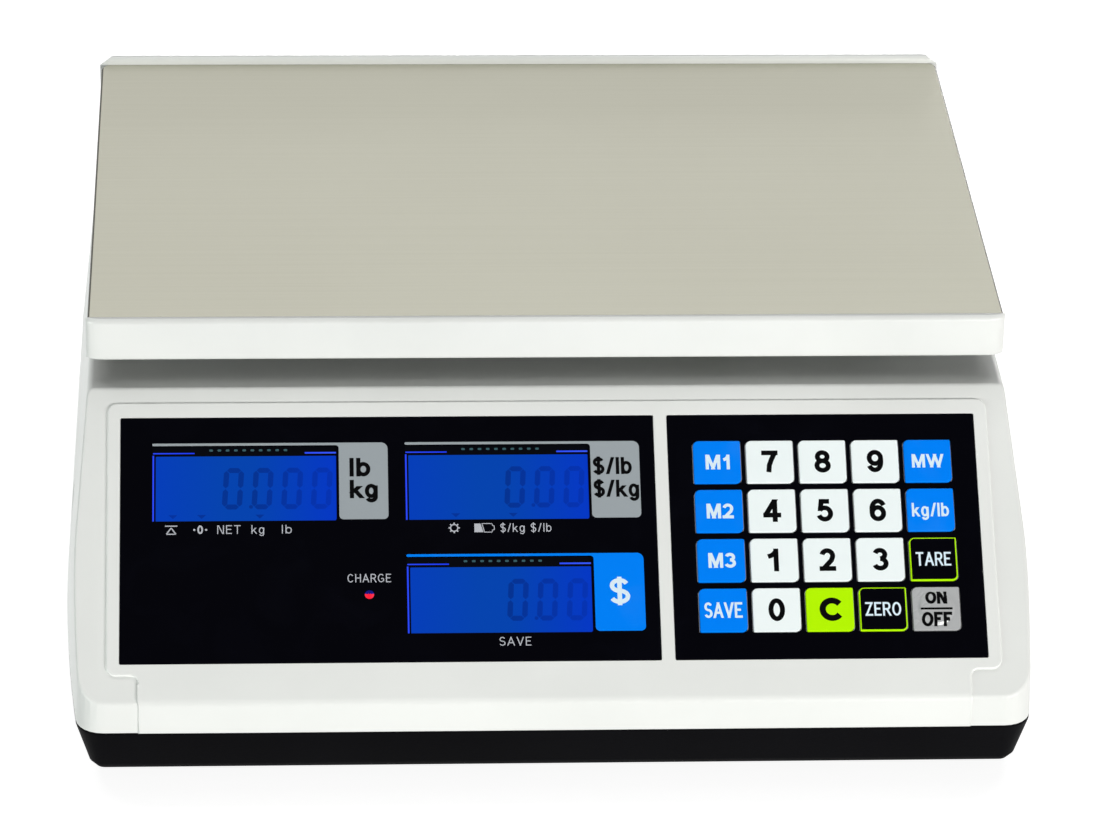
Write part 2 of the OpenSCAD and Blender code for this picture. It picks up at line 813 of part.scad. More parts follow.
module battery_well() battery_place(foot_gap) difference() {
    union() {
        linear_extrude(frame_z - foot_gap) square([cover_w + 2 * well_t, cover_l + 2 * well_t], center = true);
        linear_extrude(cover_tab_top - foot_gap) cover_tab(well_t);
        linear_extrude(floor_t + well_h) square([well_w + 2 * well_t, well_l + 2 * well_t], center = true);
    }
    linear_extrude(reach) square([well_w, well_l], center = true);
}

module pedestal_seat() translate([-cell_bolt_mid, cell_y, foot_gap])
    linear_extrude(seat_z - foot_gap)
        square([pedestal_l, pedestal_w], center = true);

module pedestal_holes() for (x = [-1, 1], y = [-1, 1])
    translate([
        -cell_bolt_mid + x * (pedestal_l - pedestal_wall) / 2,
        cell_y + y * (pedestal_w - pedestal_wall) / 2
    ]) children();

module cover_hole() translate([battery_x, battery_y - cover_l / 2 - cover_tab_l / 2]) children();

module base_tray() color("#202024") difference() {
    union() {
        difference() {
            base_block();
            base_cavity();
        }
        base_rim();
        foot_bosses();
        battery_well();
        pedestal_seat();
        for (p = screw_column)
            translate([p[0], p[1], foot_gap]) cylinder(d = column_d + wall, h = base_h);
        for (p = main_corner)
            translate([p[0], p[1], foot_gap]) cylinder(d = standoff_d, h = main_z - foot_gap);
        translate([stop_x, cell_y, foot_gap]) cylinder(d = stop_d + 2 * wall, h = seat_z - foot_gap);
    }
    for (f = FEET) translate(f[1]) {
        translate([0, 0, foot_gap - land]) cylinder(d = foot_d + 2 * slide_gap, h = foot_pocket + land);
        translate([0, 0, foot_gap]) cylinder(d = stud_d + 2 * thread_gap, h = reach);
    }
    battery_place(foot_gap - land) {
        linear_extrude(reach) square([well_w, well_l], center = true);
        linear_extrude(cover_t + land) cover_plate(fit_gap);
    }
    cover_hole() translate([0, 0, foot_gap])
        cylinder(d = board_screw_d + 2 * thread_gap, h = cover_t + cover_bite);
    for (p = screw_column) translate(p) {
        translate([0, 0, foot_gap - land]) cylinder(d = case_head_d + 1, h = head_sink_z - foot_gap + land);
        cylinder(d = case_screw_d + 2 * fit_gap, h = reach);
    }
    pedestal_holes() {
        translate([0, 0, foot_gap - land]) cylinder(d = case_head_d + 1, h = floor_t + land);
        cylinder(d = case_screw_d + 2 * fit_gap, h = reach);
    }
    for (p = main_corner)
        translate([p[0], p[1], main_z - board_bite])
            cylinder(d = board_screw_d + 2 * thread_gap, h = reach);
}

module battery_cover() color("#26262a") difference() {
    battery_place(foot_gap) linear_extrude(cover_t) cover_plate(0);
    cover_hole() cylinder(d = board_screw_d + 2 * fit_gap, h = reach);
    cover_hole() cylinder(d = board_head_d + 1, h = foot_gap + cover_head_h);
}

// Front panel, overlays and what lies behind them

module lcd_windows(grow) for (p = lcd_mid)
    translate(p) square([lcd_w + 2 * grow, lcd_h + 2 * grow], center = true);

module display_posts(d) on_slope(board_front) translate(display_mid) for (p = display_corner)
    translate(p) cylinder(d = d, h = panel_back - board_front + post_root);

module front_panel() color("white") difference() {
    union() {
        panel_solid(0);
        display_posts(standoff_d);
    }
    at_overlay(display_mid, overlay_back, reach)
        round_plate(display_w + 2 * fit_gap, overlay_h + 2 * fit_gap, overlay_r);
    at_overlay(keypad_mid, overlay_back, reach)
        round_plate(keypad_w + 2 * fit_gap, overlay_h + 2 * fit_gap, overlay_r);
    at_overlay(keypad_mid, circuit_back, reach)
        square([circuit_w + 2 * fit_gap, circuit_h + 2 * fit_gap], center = true);
    at_overlay([0, 0], panel_back - land, reach) lcd_windows(lcd_border + fit_gap);
    at_overlay(led_at, panel_back - land, reach) circle(d = led_d + 2 * fit_gap);
    display_posts(board_screw_d + 2 * thread_gap);
}

module display_overlay() color("#101014") at_overlay([0, 0], overlay_back, overlay_t) difference() {
    translate(display_mid) round_plate(display_w, overlay_h, overlay_r);
    lcd_windows(0);
    translate(led_at) circle(d = led_d + 2 * fit_gap);
}

module key_places() for (c = [0:key_cols - 1], r = [0:key_rows - 1])
    translate(keypad_mid + key_pitch * [c - (key_cols - 1) / 2, r - (key_rows - 1) / 2]) children();

module keypad_overlay() color("#101014") at_overlay([0, 0], overlay_back, overlay_t) difference() {
    translate(keypad_mid) round_plate(keypad_w, overlay_h, overlay_r);
    key_places() key_plate(key_gap);
}

// One key of the pad, counted along the rows from the top left
module key(i) color(KEY_COLOURS[i]) {
    col = i % key_cols;
    row = key_rows - 1 - floor(i / key_cols);
    at_overlay(
        keypad_mid + key_pitch * [col - (key_cols - 1) / 2, row - (key_rows - 1) / 2],
        key_back,
        key_t
    ) key_plate(0);
}

module dome_sheet() color("silver") {
    at_overlay(keypad_mid, circuit_front, dome_sheet_t) square([circuit_w, circuit_h], center = true);
    on_slope(dome_foot - dome_sheet_t / 2) key_places() {
        cylinder(d = dome_d, h = dome_sheet_t);
        translate([0, 0, dome_sheet_t / 2]) cylinder(d1 = dome_d, d2 = dome_top_d, h = dome_h);
    }
}

module keypad_circuit() color("darkgreen")
    at_overlay(keypad_mid, circuit_back, circuit_t) square([circuit_w, circuit_h], center = true);

module lcd(i) color("royalblue") at_overlay(lcd_mid[i], lcd_back, lcd_t)
    square([lcd_w + 2 * lcd_border, lcd_h + 2 * lcd_border], center = true);

module lcd_backlights() color("aliceblue")
    at_overlay([0, 0], board_front, backlight_t) lcd_windows(lcd_border);

module display_board() color("darkgreen") difference() {
    union() {
        at_overlay(display_mid, board_front - pcb_t, pcb_t)
            square([display_board_w, display_board_h], center = true);
        on_slope(ribbon_header_n)
            translate([ribbon_x, ribbon_u - header_d / 2, 0])
                cube([ribbon_w, header_d, header_h + post_root]);
    }
    on_slope(board_front - pcb_t - land) translate(display_mid) for (p = display_corner)
        translate(p) cylinder(d = board_screw_d + 2 * fit_gap, h = pcb_t + 2 * land);
}

module charge_led() color("crimson") on_slope(board_front) translate(led_at) {
    cylinder(d = led_d + 1, h = 1);
    cylinder(d = led_d, h = overlay_top - board_front - led_d / 2);
    translate([0, 0, overlay_top - board_front - led_d / 2]) sphere(d = led_d);
}

// Customer display

module rear_overlay() color("#101014")
    on_rear(-overlay_t - overlay_sink)
        linear_extrude(overlay_t)
            difference() {
                translate([0, rear_mid]) round_plate(rear_w, rear_h, overlay_r);
                rear_windows(rear_lcd_w, rear_lcd_h);
            }

module rear_lcds() color("royalblue")
    on_rear(rear_lcd_back)
        linear_extrude(lcd_t)
            rear_windows(rear_lcd_w + 2 * lcd_border, rear_lcd_h + 2 * lcd_border);

module rear_board() color("darkgreen") on_rear(rear_lcd_back - pcb_t) difference() {
    translate([0, rear_mid]) linear_extrude(pcb_t) square([rear_board_w, rear_board_h], center = true);
    for (x = [-1, 1], y = [-1, 1])
        translate([x * rear_post_x, rear_mid + y * (rear_board_h / 2 - screw_inset), -land])
            cylinder(d = board_screw_d + 2 * fit_gap, h = pcb_t + 2 * land);
}

// Boards, battery and inlet inside the base

module main_board() color("darkgreen") difference() {
    translate([main_x, main_y, main_z]) linear_extrude(pcb_t) square([main_w, main_d], center = true);
    for (p = main_corner) translate(p) cylinder(d = board_screw_d + 2 * fit_gap, h = reach);
}

module board_components() color("dimgray") translate([main_x - main_w / 2, main_y, main_top]) {
    translate([screw_inset, main_d / 2 - 4 * screw_inset, 0]) cube([lead_header_w, header_d, header_h]);
    translate([ribbon_x - main_x + main_w / 2, main_header_y - main_y - header_d / 2, 0])
        cube([ribbon_w, header_d, header_h]);
    translate([main_w * 0.45, 0, 0]) cube([chip_w, chip_w, chip_h]);
    translate([main_w * 0.7, -main_d * 0.1, 0]) cube([memory_w, memory_d, memory_h]);
    for (i = [0:2])
        translate([main_w * 0.68 + can_pitch * i, main_d * 0.32, 0]) cylinder(d = can_d, h = can_h);
    for (i = [0:4])
        translate([main_w * 0.5 + resistor_pitch * i, -main_d * 0.25, 0])
            cube([resistor_w, resistor_d, resistor_h]);
}

module battery() color("#33363c") battery_place(battery_z) {
    linear_extrude(battery_h) square([battery_w, battery_l], center = true);
    for (y = [-1, 1])
        translate([battery_w * 0.3, y * battery_l * 0.35, battery_h]) cylinder(d = terminal_d, h = terminal_h);
}

module dc_jack() color("#18181a") difference() {
    union() {
        translate([-jack_face_x, jack_y, jack_z]) rotate([0, 90, 0])
            cylinder(d = jack_d, h = jack_face_x - jack_body_x + land);
        translate([-jack_body_x, jack_y - jack_d / 2, jack_z - jack_d / 2])
            cube([jack_body_l, jack_d, jack_d]);
    }
    difference() {
        translate([-jack_face_x - land, jack_y, jack_z]) rotate([0, 90, 0])
            cylinder(d = jack_bore, h = jack_depth + land);
        translate([-jack_face_x + 1, jack_y, jack_z]) rotate([0, 90, 0])
            cylinder(d = jack_pin_d, h = jack_depth);
    }
}

module level_vial() color("palegreen") translate([vial_x, vial_y, deck_z]) {
    cylinder(d = vial_d + 2 * vial_rim, h = vial_rim_h);
    translate([0, 0, vial_rim_h - vial_h]) cylinder(d = vial_d, h = vial_h);
}

// Load cell, its pedestal, stop and bracket

module bolt_places(side) for (i = [-1, 1])
    translate([side * cell_bolt_mid + i * cell_bolt_pitch / 2, cell_y]) children();

module load_cell() color("lightgray") difference() {
    translate([-cell_l / 2, cell_y - cell_w / 2, cell_z]) cube([cell_l, cell_w, cell_h]);
    for (x = [-1, 1])
        translate([x * flexure_pitch / 2, cell_y + cell_w, cell_z + cell_h / 2])
            rotate([90, 0, 0])
                cylinder(r = flexure_r, h = 2 * cell_w);
    translate([-flexure_pitch / 2, cell_y - cell_w, cell_z + cell_h / 2 - flexure_r / 2])
        cube([flexure_pitch, 2 * cell_w, flexure_r]);
    bolt_places(-1) translate([0, 0, cell_z - land])
        cylinder(d = cell_bolt_d + 2 * thread_gap, h = cell_bolt_depth + 2 * land);
    bolt_places(1) translate([0, 0, cell_top - cell_bolt_depth - land])
        cylinder(d = cell_bolt_d + 2 * thread_gap, h = cell_bolt_depth + 2 * land);
}

module cell_pedestal() color("gray") difference() {
    translate([-cell_bolt_mid, cell_y, seat_z])
        linear_extrude(cell_z - seat_z)
            square([pedestal_l, pedestal_w], center = true);
    translate([-cell_bolt_mid, cell_y, seat_z - land])
        linear_extrude(cell_z - pedestal_top - seat_z + land)
            square([pedestal_l - 2 * pedestal_wall, pedestal_w - 2 * pedestal_wall], center = true);
    bolt_places(-1) cylinder(d = cell_bolt_d + 2 * fit_gap, h = reach);
    pedestal_holes() translate([0, 0, seat_z - land])
        cylinder(d = case_screw_d + 2 * thread_gap, h = pedestal_bite + 2 * land);
}

module cell_bolts() color("silver") {
    bolt_places(-1) translate([0, 0, cell_z - pedestal_top])
        rotate([180, 0, 0])
            screw(cell_bolt_d, pedestal_top + cell_bolt_depth, bolt_head_d, bolt_head_h);
    pedestal_holes() translate([0, 0, floor_z])
        rotate([180, 0, 0])
            screw(case_screw_d, seat_h + pedestal_bite, case_head_d, case_head_h);
}

module overload_stop() color("silver") translate([stop_x, cell_y, seat_z]) {
    pillar_h = cell_z - stop_gap - stop_screw_h - seat_z;
    cylinder(d = stop_d, h = pillar_h);
    translate([0, 0, pillar_h]) cylinder(d = stop_d * 0.75, h = stop_screw_h);
}

// Plan of the bracket: a bar over the cell and an arm to each post
module spider_plan() translate([0, cell_y]) {
    square([cell_l, cell_w], center = true);
    for (p = post_places) {
        run = [p[0], p[1] - cell_y];
        rotate(atan2(run[1], run[0])) translate([0, -arm_w / 2]) square([norm(run), arm_w]);
        translate(run) circle(d = arm_end_d);
    }
}

module spider() color("gainsboro") difference() {
    union() {
        translate([0, 0, arm_z]) linear_extrude(arm_h) spider_plan();
        translate([cell_bolt_mid - cell_bolt_pitch / 2 - cell_bolt_inset, cell_y - cell_w / 2, cell_top])
            cube([cell_bolt_pitch + 2 * cell_bolt_inset, cell_w, hub_h + arm_h / 2]);
        for (p = post_places) translate([p[0], p[1], arm_z + arm_h / 2])
            cylinder(d = post_d, h = tray_under - pad_t - arm_z - arm_h / 2);
    }
    bolt_places(1) translate([0, 0, cell_top - land]) cylinder(d = cell_bolt_d + 2 * fit_gap, h = reach);
}

module spider_bolts() color("silver") bolt_places(1) translate([0, 0, arm_z + arm_h])
    screw(cell_bolt_d, hub_h + arm_h + cell_bolt_depth, bolt_head_d, bolt_head_h * 0.8);

module tray_pads() color("#2a2a2a") for (p = post_places)
    translate([p[0], p[1], tray_under - pad_t]) cylinder(d = pad_d, h = pad_t);

// Platter

module tray_outline() translate([0, tray_y]) round_plate(tray_w, tray_d, lip_r);

module tray_band(y0, y1) intersection() {
    tray_outline();
    translate([-tray_w, y0]) square([2 * tray_w, y1 - y0]);
}

module platter_tray() color("white") {
    difference() {
        union() {
            translate([0, 0, lip_z]) linear_extrude(lip_h) tray_band(lip_front_y - land, steel_front_y);
            translate([0, 0, lip_z])
                linear_extrude(lip_h + rear_lip_rise)
                    tray_band(steel_rear_y, steel_rear_y + 2 * rear_lip_t);
            translate([-steel_w / 2 + steel_t + fit_gap, steel_front_y - land, tray_under])
                cube([steel_w - 2 * steel_t - 2 * fit_gap, steel_d + 2 * land, tray_t]);
            for (p = post_places) translate([p[0], p[1], tray_under - rib_h])
                cylinder(d = pad_d + 2 * slide_gap + 2 * socket_wall, h = rib_h);
            for (y = [-1, 0, 1])
                translate([-steel_w / 2 + 2 * steel_flange_h, cell_y + y * post_y / 2 - rib_t / 2, tray_under - rib_h])
                    cube([steel_w - 4 * steel_flange_h, rib_t, rib_h]);
        }
        for (p = post_places) translate([p[0], p[1], tray_under - rib_h - land])
            cylinder(d = pad_d + 2 * slide_gap, h = rib_h + land);
    }
}

module platter_sheet() color("#c1c0b2") {
    y = steel_front_y + fit_gap;
    depth = steel_d - 2 * fit_gap;
    translate([-steel_w / 2, y, tray_top]) cube([steel_w, depth, steel_t]);
    for (x = [-1, 1])
        translate([x * (steel_w - steel_t) / 2 - steel_t / 2, y, steel_z - steel_flange_h])
            cube([steel_t, depth, steel_flange_h]);
}

// Feet, screws and leads

module foot(place) color("#1c1c1e") translate(place) {
    cylinder(d1 = foot_d - 2 * foot_chamfer, d2 = foot_d, h = foot_chamfer);
    translate([0, 0, foot_chamfer]) cylinder(d = foot_d, h = foot_top - foot_chamfer);
    translate([0, 0, foot_top]) cylinder(d = stud_d, h = stud_len);
}

module case_screws() color("silver") {
    for (p = screw_column) translate([p[0], p[1], head_sink_z])
        rotate([180, 0, 0])
            screw(case_screw_d, parting_z - head_sink_z + case_screw_bite, case_head_d, case_head_h);
    cover_hole() translate([0, 0, foot_gap + cover_head_h])
        rotate([180, 0, 0])
            screw(board_screw_d, cover_bite, board_head_d, cover_head_h);
}

module board_screws() color("silver") {
    for (p = main_corner) translate([p[0], p[1], main_top])
        screw(board_screw_d, pcb_t + board_bite - 0.5, board_head_d, board_head_h);
    on_slope(board_front - pcb_t) translate(display_mid) for (p = display_corner)
        translate(p) rotate([180, 0, 0])
            screw(board_screw_d, pcb_t + board_bite, board_head_d, board_head_h);
    on_rear(rear_lcd_back - pcb_t) for (x = [-1, 1], y = [-1, 1])
        translate([x * rear_post_x, rear_mid + y * (rear_board_h / 2 - screw_inset), 0])
            rotate([180, 0, 0])
                screw(board_screw_d, board_bite - 0.5, board_head_d, board_head_h);
}

// The cell's lead leaves its fixed end, runs down in front of the pedestal and on to the main board
lead_x = -cell_bolt_mid;
lead_drop_y = cell_y - max(cell_w, pedestal_w) / 2 - lead_d;
lead_cell_z = cell_z + cell_h / 2;
lead_row_y = main_y + main_d / 2 - 4 * screw_inset + header_d / 2;
lead_header_x = main_x - main_w / 2 + screw_inset;
lead_rise_x = main_x - main_w / 2 - 2 * lead_d;
lead_floor_z = floor_z + lead_d / 2 + fit_gap;
lead_points = [
    [lead_x, cell_y - cell_w / 2, lead_cell_z],
    [lead_x, lead_drop_y, lead_cell_z],
    [lead_x, lead_drop_y, lead_floor_z],
    [lead_x, lead_row_y, lead_floor_z],
    [lead_rise_x, lead_row_y, lead_floor_z],
    [lead_rise_x, lead_row_y, main_top + header_h / 2],
    [lead_header_x, lead_row_y, main_top + header_h / 2]
];

// The ribbon rises from the main board and meets the display board's header squarely
ribbon_end = slope_point(ribbon_u, ribbon_header_n);
ribbon_stub = slope_point(ribbon_u, ribbon_header_n - 8);
ribbon_points = [
    [main_header_y, main_top + header_h],
    [main_header_y, main_top + header_h + 10],
    [main_header_y - 14, main_top + header_h + 18],
    ribbon_stub,
    ribbon_end
];

module load_cell_cable() color("#404044") lead_run(lead_points, lead_d);

module display_ribbon() color("lightslategray")
    translate([ribbon_x, 0, 0]) rotate([90, 0, 90]) linear_extrude(ribbon_w) polygon(strip(ribbon_points, ribbon_t));

base_tray();
upper_housing();
front_panel();
display_overlay();
keypad_overlay();
for (i = [0:len(LCDS) - 1]) lcd(i);
lcd_backlights();
display_board();
dome_sheet();
keypad_circuit();
charge_led();
for (i = [0:len(KEYS) - 1]) key(i);
main_board();
board_components();
battery();
battery_cover();
dc_jack();
load_cell();
cell_pedestal();
cell_bolts();
overload_stop();
level_vial();
case_screws();
board_screws();
rear_overlay();
rear_lcds();
rear_board();
load_cell_cable();
display_ribbon();
spider();
spider_bolts();
tray_pads();
platter_tray();
platter_sheet();
for (f = FEET) foot(f[1]);
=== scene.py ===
"""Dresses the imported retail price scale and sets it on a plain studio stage."""

import json
import math

import bmesh
import bpy
from bpy.props import FloatProperty, FloatVectorProperty, PointerProperty
from bpy.types import Operator, Panel, PropertyGroup
from mathutils import Matrix, Vector
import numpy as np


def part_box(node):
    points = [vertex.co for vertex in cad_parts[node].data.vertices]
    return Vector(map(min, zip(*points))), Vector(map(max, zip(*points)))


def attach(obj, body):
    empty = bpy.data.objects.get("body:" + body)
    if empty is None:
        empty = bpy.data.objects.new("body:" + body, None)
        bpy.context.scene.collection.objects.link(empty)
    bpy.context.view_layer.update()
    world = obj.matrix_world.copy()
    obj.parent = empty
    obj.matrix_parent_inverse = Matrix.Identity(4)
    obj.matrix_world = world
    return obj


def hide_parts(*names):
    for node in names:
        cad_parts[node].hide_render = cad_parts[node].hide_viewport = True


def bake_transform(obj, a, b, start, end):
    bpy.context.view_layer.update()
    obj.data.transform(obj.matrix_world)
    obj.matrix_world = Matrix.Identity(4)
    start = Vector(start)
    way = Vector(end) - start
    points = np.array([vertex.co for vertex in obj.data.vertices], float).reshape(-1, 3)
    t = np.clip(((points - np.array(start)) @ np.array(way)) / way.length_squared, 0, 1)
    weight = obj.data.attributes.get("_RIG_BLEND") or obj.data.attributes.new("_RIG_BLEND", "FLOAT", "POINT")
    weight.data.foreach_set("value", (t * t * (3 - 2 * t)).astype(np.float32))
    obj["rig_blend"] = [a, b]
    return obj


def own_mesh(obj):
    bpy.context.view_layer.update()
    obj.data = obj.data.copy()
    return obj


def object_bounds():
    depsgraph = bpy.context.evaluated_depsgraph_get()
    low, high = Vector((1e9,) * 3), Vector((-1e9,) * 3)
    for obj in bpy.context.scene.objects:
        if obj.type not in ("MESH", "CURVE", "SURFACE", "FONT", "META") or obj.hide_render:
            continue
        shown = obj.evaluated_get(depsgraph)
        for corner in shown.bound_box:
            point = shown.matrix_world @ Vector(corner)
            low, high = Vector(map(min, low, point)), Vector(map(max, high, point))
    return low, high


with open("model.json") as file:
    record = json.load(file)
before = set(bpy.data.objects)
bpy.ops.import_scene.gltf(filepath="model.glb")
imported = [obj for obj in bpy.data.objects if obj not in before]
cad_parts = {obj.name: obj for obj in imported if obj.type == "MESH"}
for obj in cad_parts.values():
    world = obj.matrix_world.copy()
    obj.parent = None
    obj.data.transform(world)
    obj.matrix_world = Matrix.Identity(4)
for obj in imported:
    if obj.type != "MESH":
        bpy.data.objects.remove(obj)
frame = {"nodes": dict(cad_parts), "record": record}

bl_info = {
    "name": "Retail Price Scale",
    "version": (1, 0, 0),
    "blender": (4, 5, 0),
    "location": "View3D > Sidebar > Price Scale",
    "description": "Dresses a counter price scale: housings, displays, keypad, platter and stage",
    "category": "Add Mesh",
}

CAD_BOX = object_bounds()
NODES = frame["nodes"]
SLOTS = {part["node"]: part["material_slot"] for part in frame["record"]["subparts"]}
KEYS = sorted(node for node in SLOTS if node.startswith("key_"))
MM = 0.001
FLUSH = 0.02 * MM
WELD = 0.002 * MM
MERGE = 0.0001 * MM
TINY = 0.01 * MM
POLE = 0.1 * MM
SHARP_ANGLE = math.radians(25)
SMOOTH_ANGLE = math.radians(30)
FLAT_ANGLE = math.radians(0.3)
QUARTER = math.pi / 2
X_AXIS, Y_AXIS = Vector((1, 0, 0)), Vector((0, 1, 0))


# Sizes and colours that a user would change


def linear(code):
    """Scene-linear colour from a hexadecimal screen colour."""
    values = [int(code[i:i + 2], 16) / 255 for i in (1, 3, 5)]
    return tuple(v / 12.92 if v <= 0.04045 else ((v + 0.055) / 1.055) ** 2.4 for v in values)


def length(name, text, value):
    """A size in metres."""
    return FloatProperty(name=name, description=text, default=value, min=0, unit="LENGTH", precision=5)


def turn(name, text, degrees):
    """An angle, given in degrees."""
    return FloatProperty(name=name, description=text, default=math.radians(degrees), subtype="ANGLE")


def colour(name, text, code):
    """A colour, given as a screen colour."""
    return FloatVectorProperty(
        name=name, description=text, default=linear(code), size=3, min=0, max=1, subtype="COLOR"
    )


class ScaleSizes(PropertyGroup):
    """Radii and heights of the dressed pieces."""

    slope_edge: length("Slope edge", "Radius round the slope", 0.0009)
    bend_edge: length("Bend edge", "Radius where the panel turns down over the skirt", 0.0018)
    hole_edge: length("Hole edge", "Radius round the holes in the deck", 0.0006)
    parting_edge: length("Parting edge", "Radius along the line between the housings", 0.0003)
    panel_edge: length("Panel edge", "Radius round the raised panel", 0.0007)
    base_edge: length("Base edge", "Radius along the lower edges of the base", 0.002)
    lip_edge: length("Lip edge", "Radius along the top of the platter's lips", 0.0018)
    lip_under: length("Lip underside", "Radius along the lower edges of the platter's lips", 0.0012)
    fold_edge: length("Fold edge", "Radius of the folded sheet", 0.0011)
    sheet_corner: length("Sheet corner", "Radius of the sheet's rear corners", 0.0035)
    key_edge: length("Key edge", "Radius along the top of a key", 0.0004)
    film_edge: length("Film edge", "Radius along the printed films", 0.00012)
    ink: length("Ink height", "Height of printed ink over its film", 0.00002)


class ScaleColours(PropertyGroup):
    """Colours of the plastics, films, inks and metals."""

    housing: colour("Housing", "White plastic of the upper housing", "#EBEDEA")
    panel: colour("Panel", "White plastic of the front panel", "#EDEFEC")
    tray: colour("Tray", "White plastic under the platter", "#E8EAE7")
    base: colour("Base", "Black plastic of the base", "#070709")
    film: colour("Film", "Black of the printed films", "#010106")
    steel: colour("Steel", "Stainless sheet", "#AFAEA0")
    key_blue: colour("Blue keys", "Blue keys and the total tab", "#0084FF")
    key_white: colour("White keys", "Digit keys", "#F6FFFF")
    key_green: colour("Green key", "Clear key and the borders", "#BAFC04")
    key_grey: colour("Grey key", "Power key", "#A9ABAC")
    tab: colour("Grey tabs", "Tabs beside the displays", "#A0A8AD")
    ink_white: colour("White ink", "Small lettering on the films", "#BFC2CA")
    light: colour("Display light", "Backlight of the displays", "#0041AC")
    digit: colour("Display digits", "Digits on the displays", "#00308E")


class StageSettings(PropertyGroup):
    """Camera and light of the stage."""

    camera_place: FloatVectorProperty(
        name="Camera place", description="Where the camera stands", size=3, subtype="TRANSLATION",
        default=(-0.10223, -1.72944, 1.00418)
    )
    camera_yaw: turn("Camera yaw", "Turn of the camera round the object", -3.559)
    camera_rise: turn("Camera rise", "Angle of the camera above the table", 28.583)
    camera_roll: turn("Camera roll", "Tilt of the picture", 1.3806)
    camera_lens: FloatProperty(name="Lens", description="Focal length on a 36 mm sensor", default=171.33)
    key_power: FloatProperty(name="Key lamp", description="Power of the key lamp in watts", default=52)
    fill_power: FloatProperty(name="Fill lamp", description="Power of the fill lamp in watts", default=26.5)
    top_power: FloatProperty(name="Top lamp", description="Power of the lamp overhead in watts", default=32)
    back_power: FloatProperty(name="Back lamp", description="Power of the lamp behind in watts", default=16)
    world_level: FloatProperty(name="World level", description="Strength of the light all round", default=0.08)


def sizes():
    return bpy.context.scene.scale_sizes


def colours():
    return bpy.context.scene.scale_colours


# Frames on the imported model


def face_frame(node, outward):
    """Axes on a flat CAD node: x to the viewer's right, y up it and z out of it, from its lower left corner."""
    mesh = NODES[node].data
    faces = [p for p in mesh.polygons if p.normal.dot(outward) > 0]
    normal = max(faces, key=lambda p: p.area).normal.normalized()
    right = Vector((0, 0, 1)).cross(normal).normalized()
    axes = Matrix((right, normal.cross(right), normal))
    points = [axes @ v.co for v in mesh.vertices]
    corner = Vector((min(p.x for p in points), min(p.y for p in points), max(p.z for p in points)))
    back = axes.transposed()
    return Matrix.Translation(back @ corner) @ back.to_4x4()


def local_box(node, place):
    """Lowest and highest corner of a CAD node, measured along the axes of a frame."""
    inverse = place.inverted()
    points = [inverse @ v.co for v in NODES[node].data.vertices]
    return tuple(Vector([pick(p[i] for p in points) for i in range(3)]) for pick in (min, max))


def box_centre(low, high):
    """Centre of a box in x and y."""
    return (low.x + high.x) / 2, (low.y + high.y) / 2


DISPLAY = face_frame("display_overlay", Vector((0, -1, 1)))
KEYPAD = face_frame("keypad_overlay", Vector((0, -1, 1)))
REAR = face_frame("rear_overlay", Vector((0, 1, 0)))
HOUSING_LOW, HOUSING_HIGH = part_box("upper_housing")
BASE_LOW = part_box("base_tray")[0]


# Outlines and solids


def rounded_outline(width, height, radii, centre, steps=6):
    """Anticlockwise outline of a rectangle; the radii start at the lower left corner."""
    points = []
    for k, (sx, sy) in enumerate(((-1, -1), (1, -1), (1, 1), (-1, 1))):
        radius = max(radii[k], TINY)
        x = centre[0] + sx * (width / 2 - radius)
        y = centre[1] + sy * (height / 2 - radius)
        for i in range(steps + 1):
            angle = math.pi + (k + i / steps) * QUARTER
            points.append((x + radius * math.cos(angle), y + radius * math.sin(angle)))
    return points


def add_loft(bm, rings, skin=0):
    """A closed skin through rings of points, capped at both ends."""
    loops = [[bm.verts.new(p) for p in ring] for ring in rings]
    faces = [bm.faces.new(loops[0][::-1]), bm.faces.new(loops[-1])]
    for low, high in zip(loops, loops[1:]):
        for i in range(len(low)):
            j = (i + 1) % len(low)
            faces.append(bm.faces.new((low[i], low[j], high[j], high[i])))
    for face in faces:
        face.material_index = skin
    return faces


def add_prism(bm, outline, low, high, skin=0):
    """An outline raised from one height to another."""
    return add_loft(bm, [[(x, y, z) for x, y in outline] for z in (low, high)], skin)


def rolled_edge(low, high, edge, rolls):
    """Inset and height of the rings that turn a plate's upper edge."""
    angles = [QUARTER * i / rolls for i in range(rolls + 1)]
    return [(0, low)] + [(edge * (1 - math.cos(a)), high - edge * (1 - math.sin(a))) for a in angles]


def add_plate(bm, low, high, radii, edge, skin=0, steps=6, rolls=3):
    """A plate between two corners of a box, with round corners and a rounded upper edge."""
    wide, tall = high.x - low.x, high.y - low.y
    rings = []
    for inset, z in rolled_edge(low.z, high.z, edge, rolls):
        corners = [r - inset for r in radii]
        outline = rounded_outline(wide - 2 * inset, tall - 2 * inset, corners, box_centre(low, high), steps)
        rings.append([(x, y, z) for x, y in outline])
    return add_loft(bm, rings, skin)


CURVED_LANES = 4


def add_strip(bm, left, right, low, high, skin=0, lift=None, loop=False):
    """A raised strip between two lines of points; lift(x, y) lays it over a curved face."""
    lanes = CURVED_LANES if lift else 1
    sections = []
    for a, b in zip(left, right):
        across = [Vector(b).lerp(Vector(a), i / lanes) for i in range(lanes + 1)]
        rises = [lift(*p) if lift else 0 for p in across]
        corners = [(*across[-1], low + rises[-1]), (*across[0], low + rises[0])]
        corners += [(*p, high + rise) for p, rise in zip(across, rises)]
        sections.append([bm.verts.new(c) for c in corners])
    faces = []
    for a, b in zip(sections, sections[1:] + sections[:1] * loop):
        for i in range(len(a)):
            j = (i + 1) % len(a)
            faces.append(bm.faces.new((a[i], a[j], b[j], b[i])))
    if not loop:
        faces += [bm.faces.new(sections[0][::-1]), bm.faces.new(sections[-1])]
    for face in faces:
        face.material_index = skin


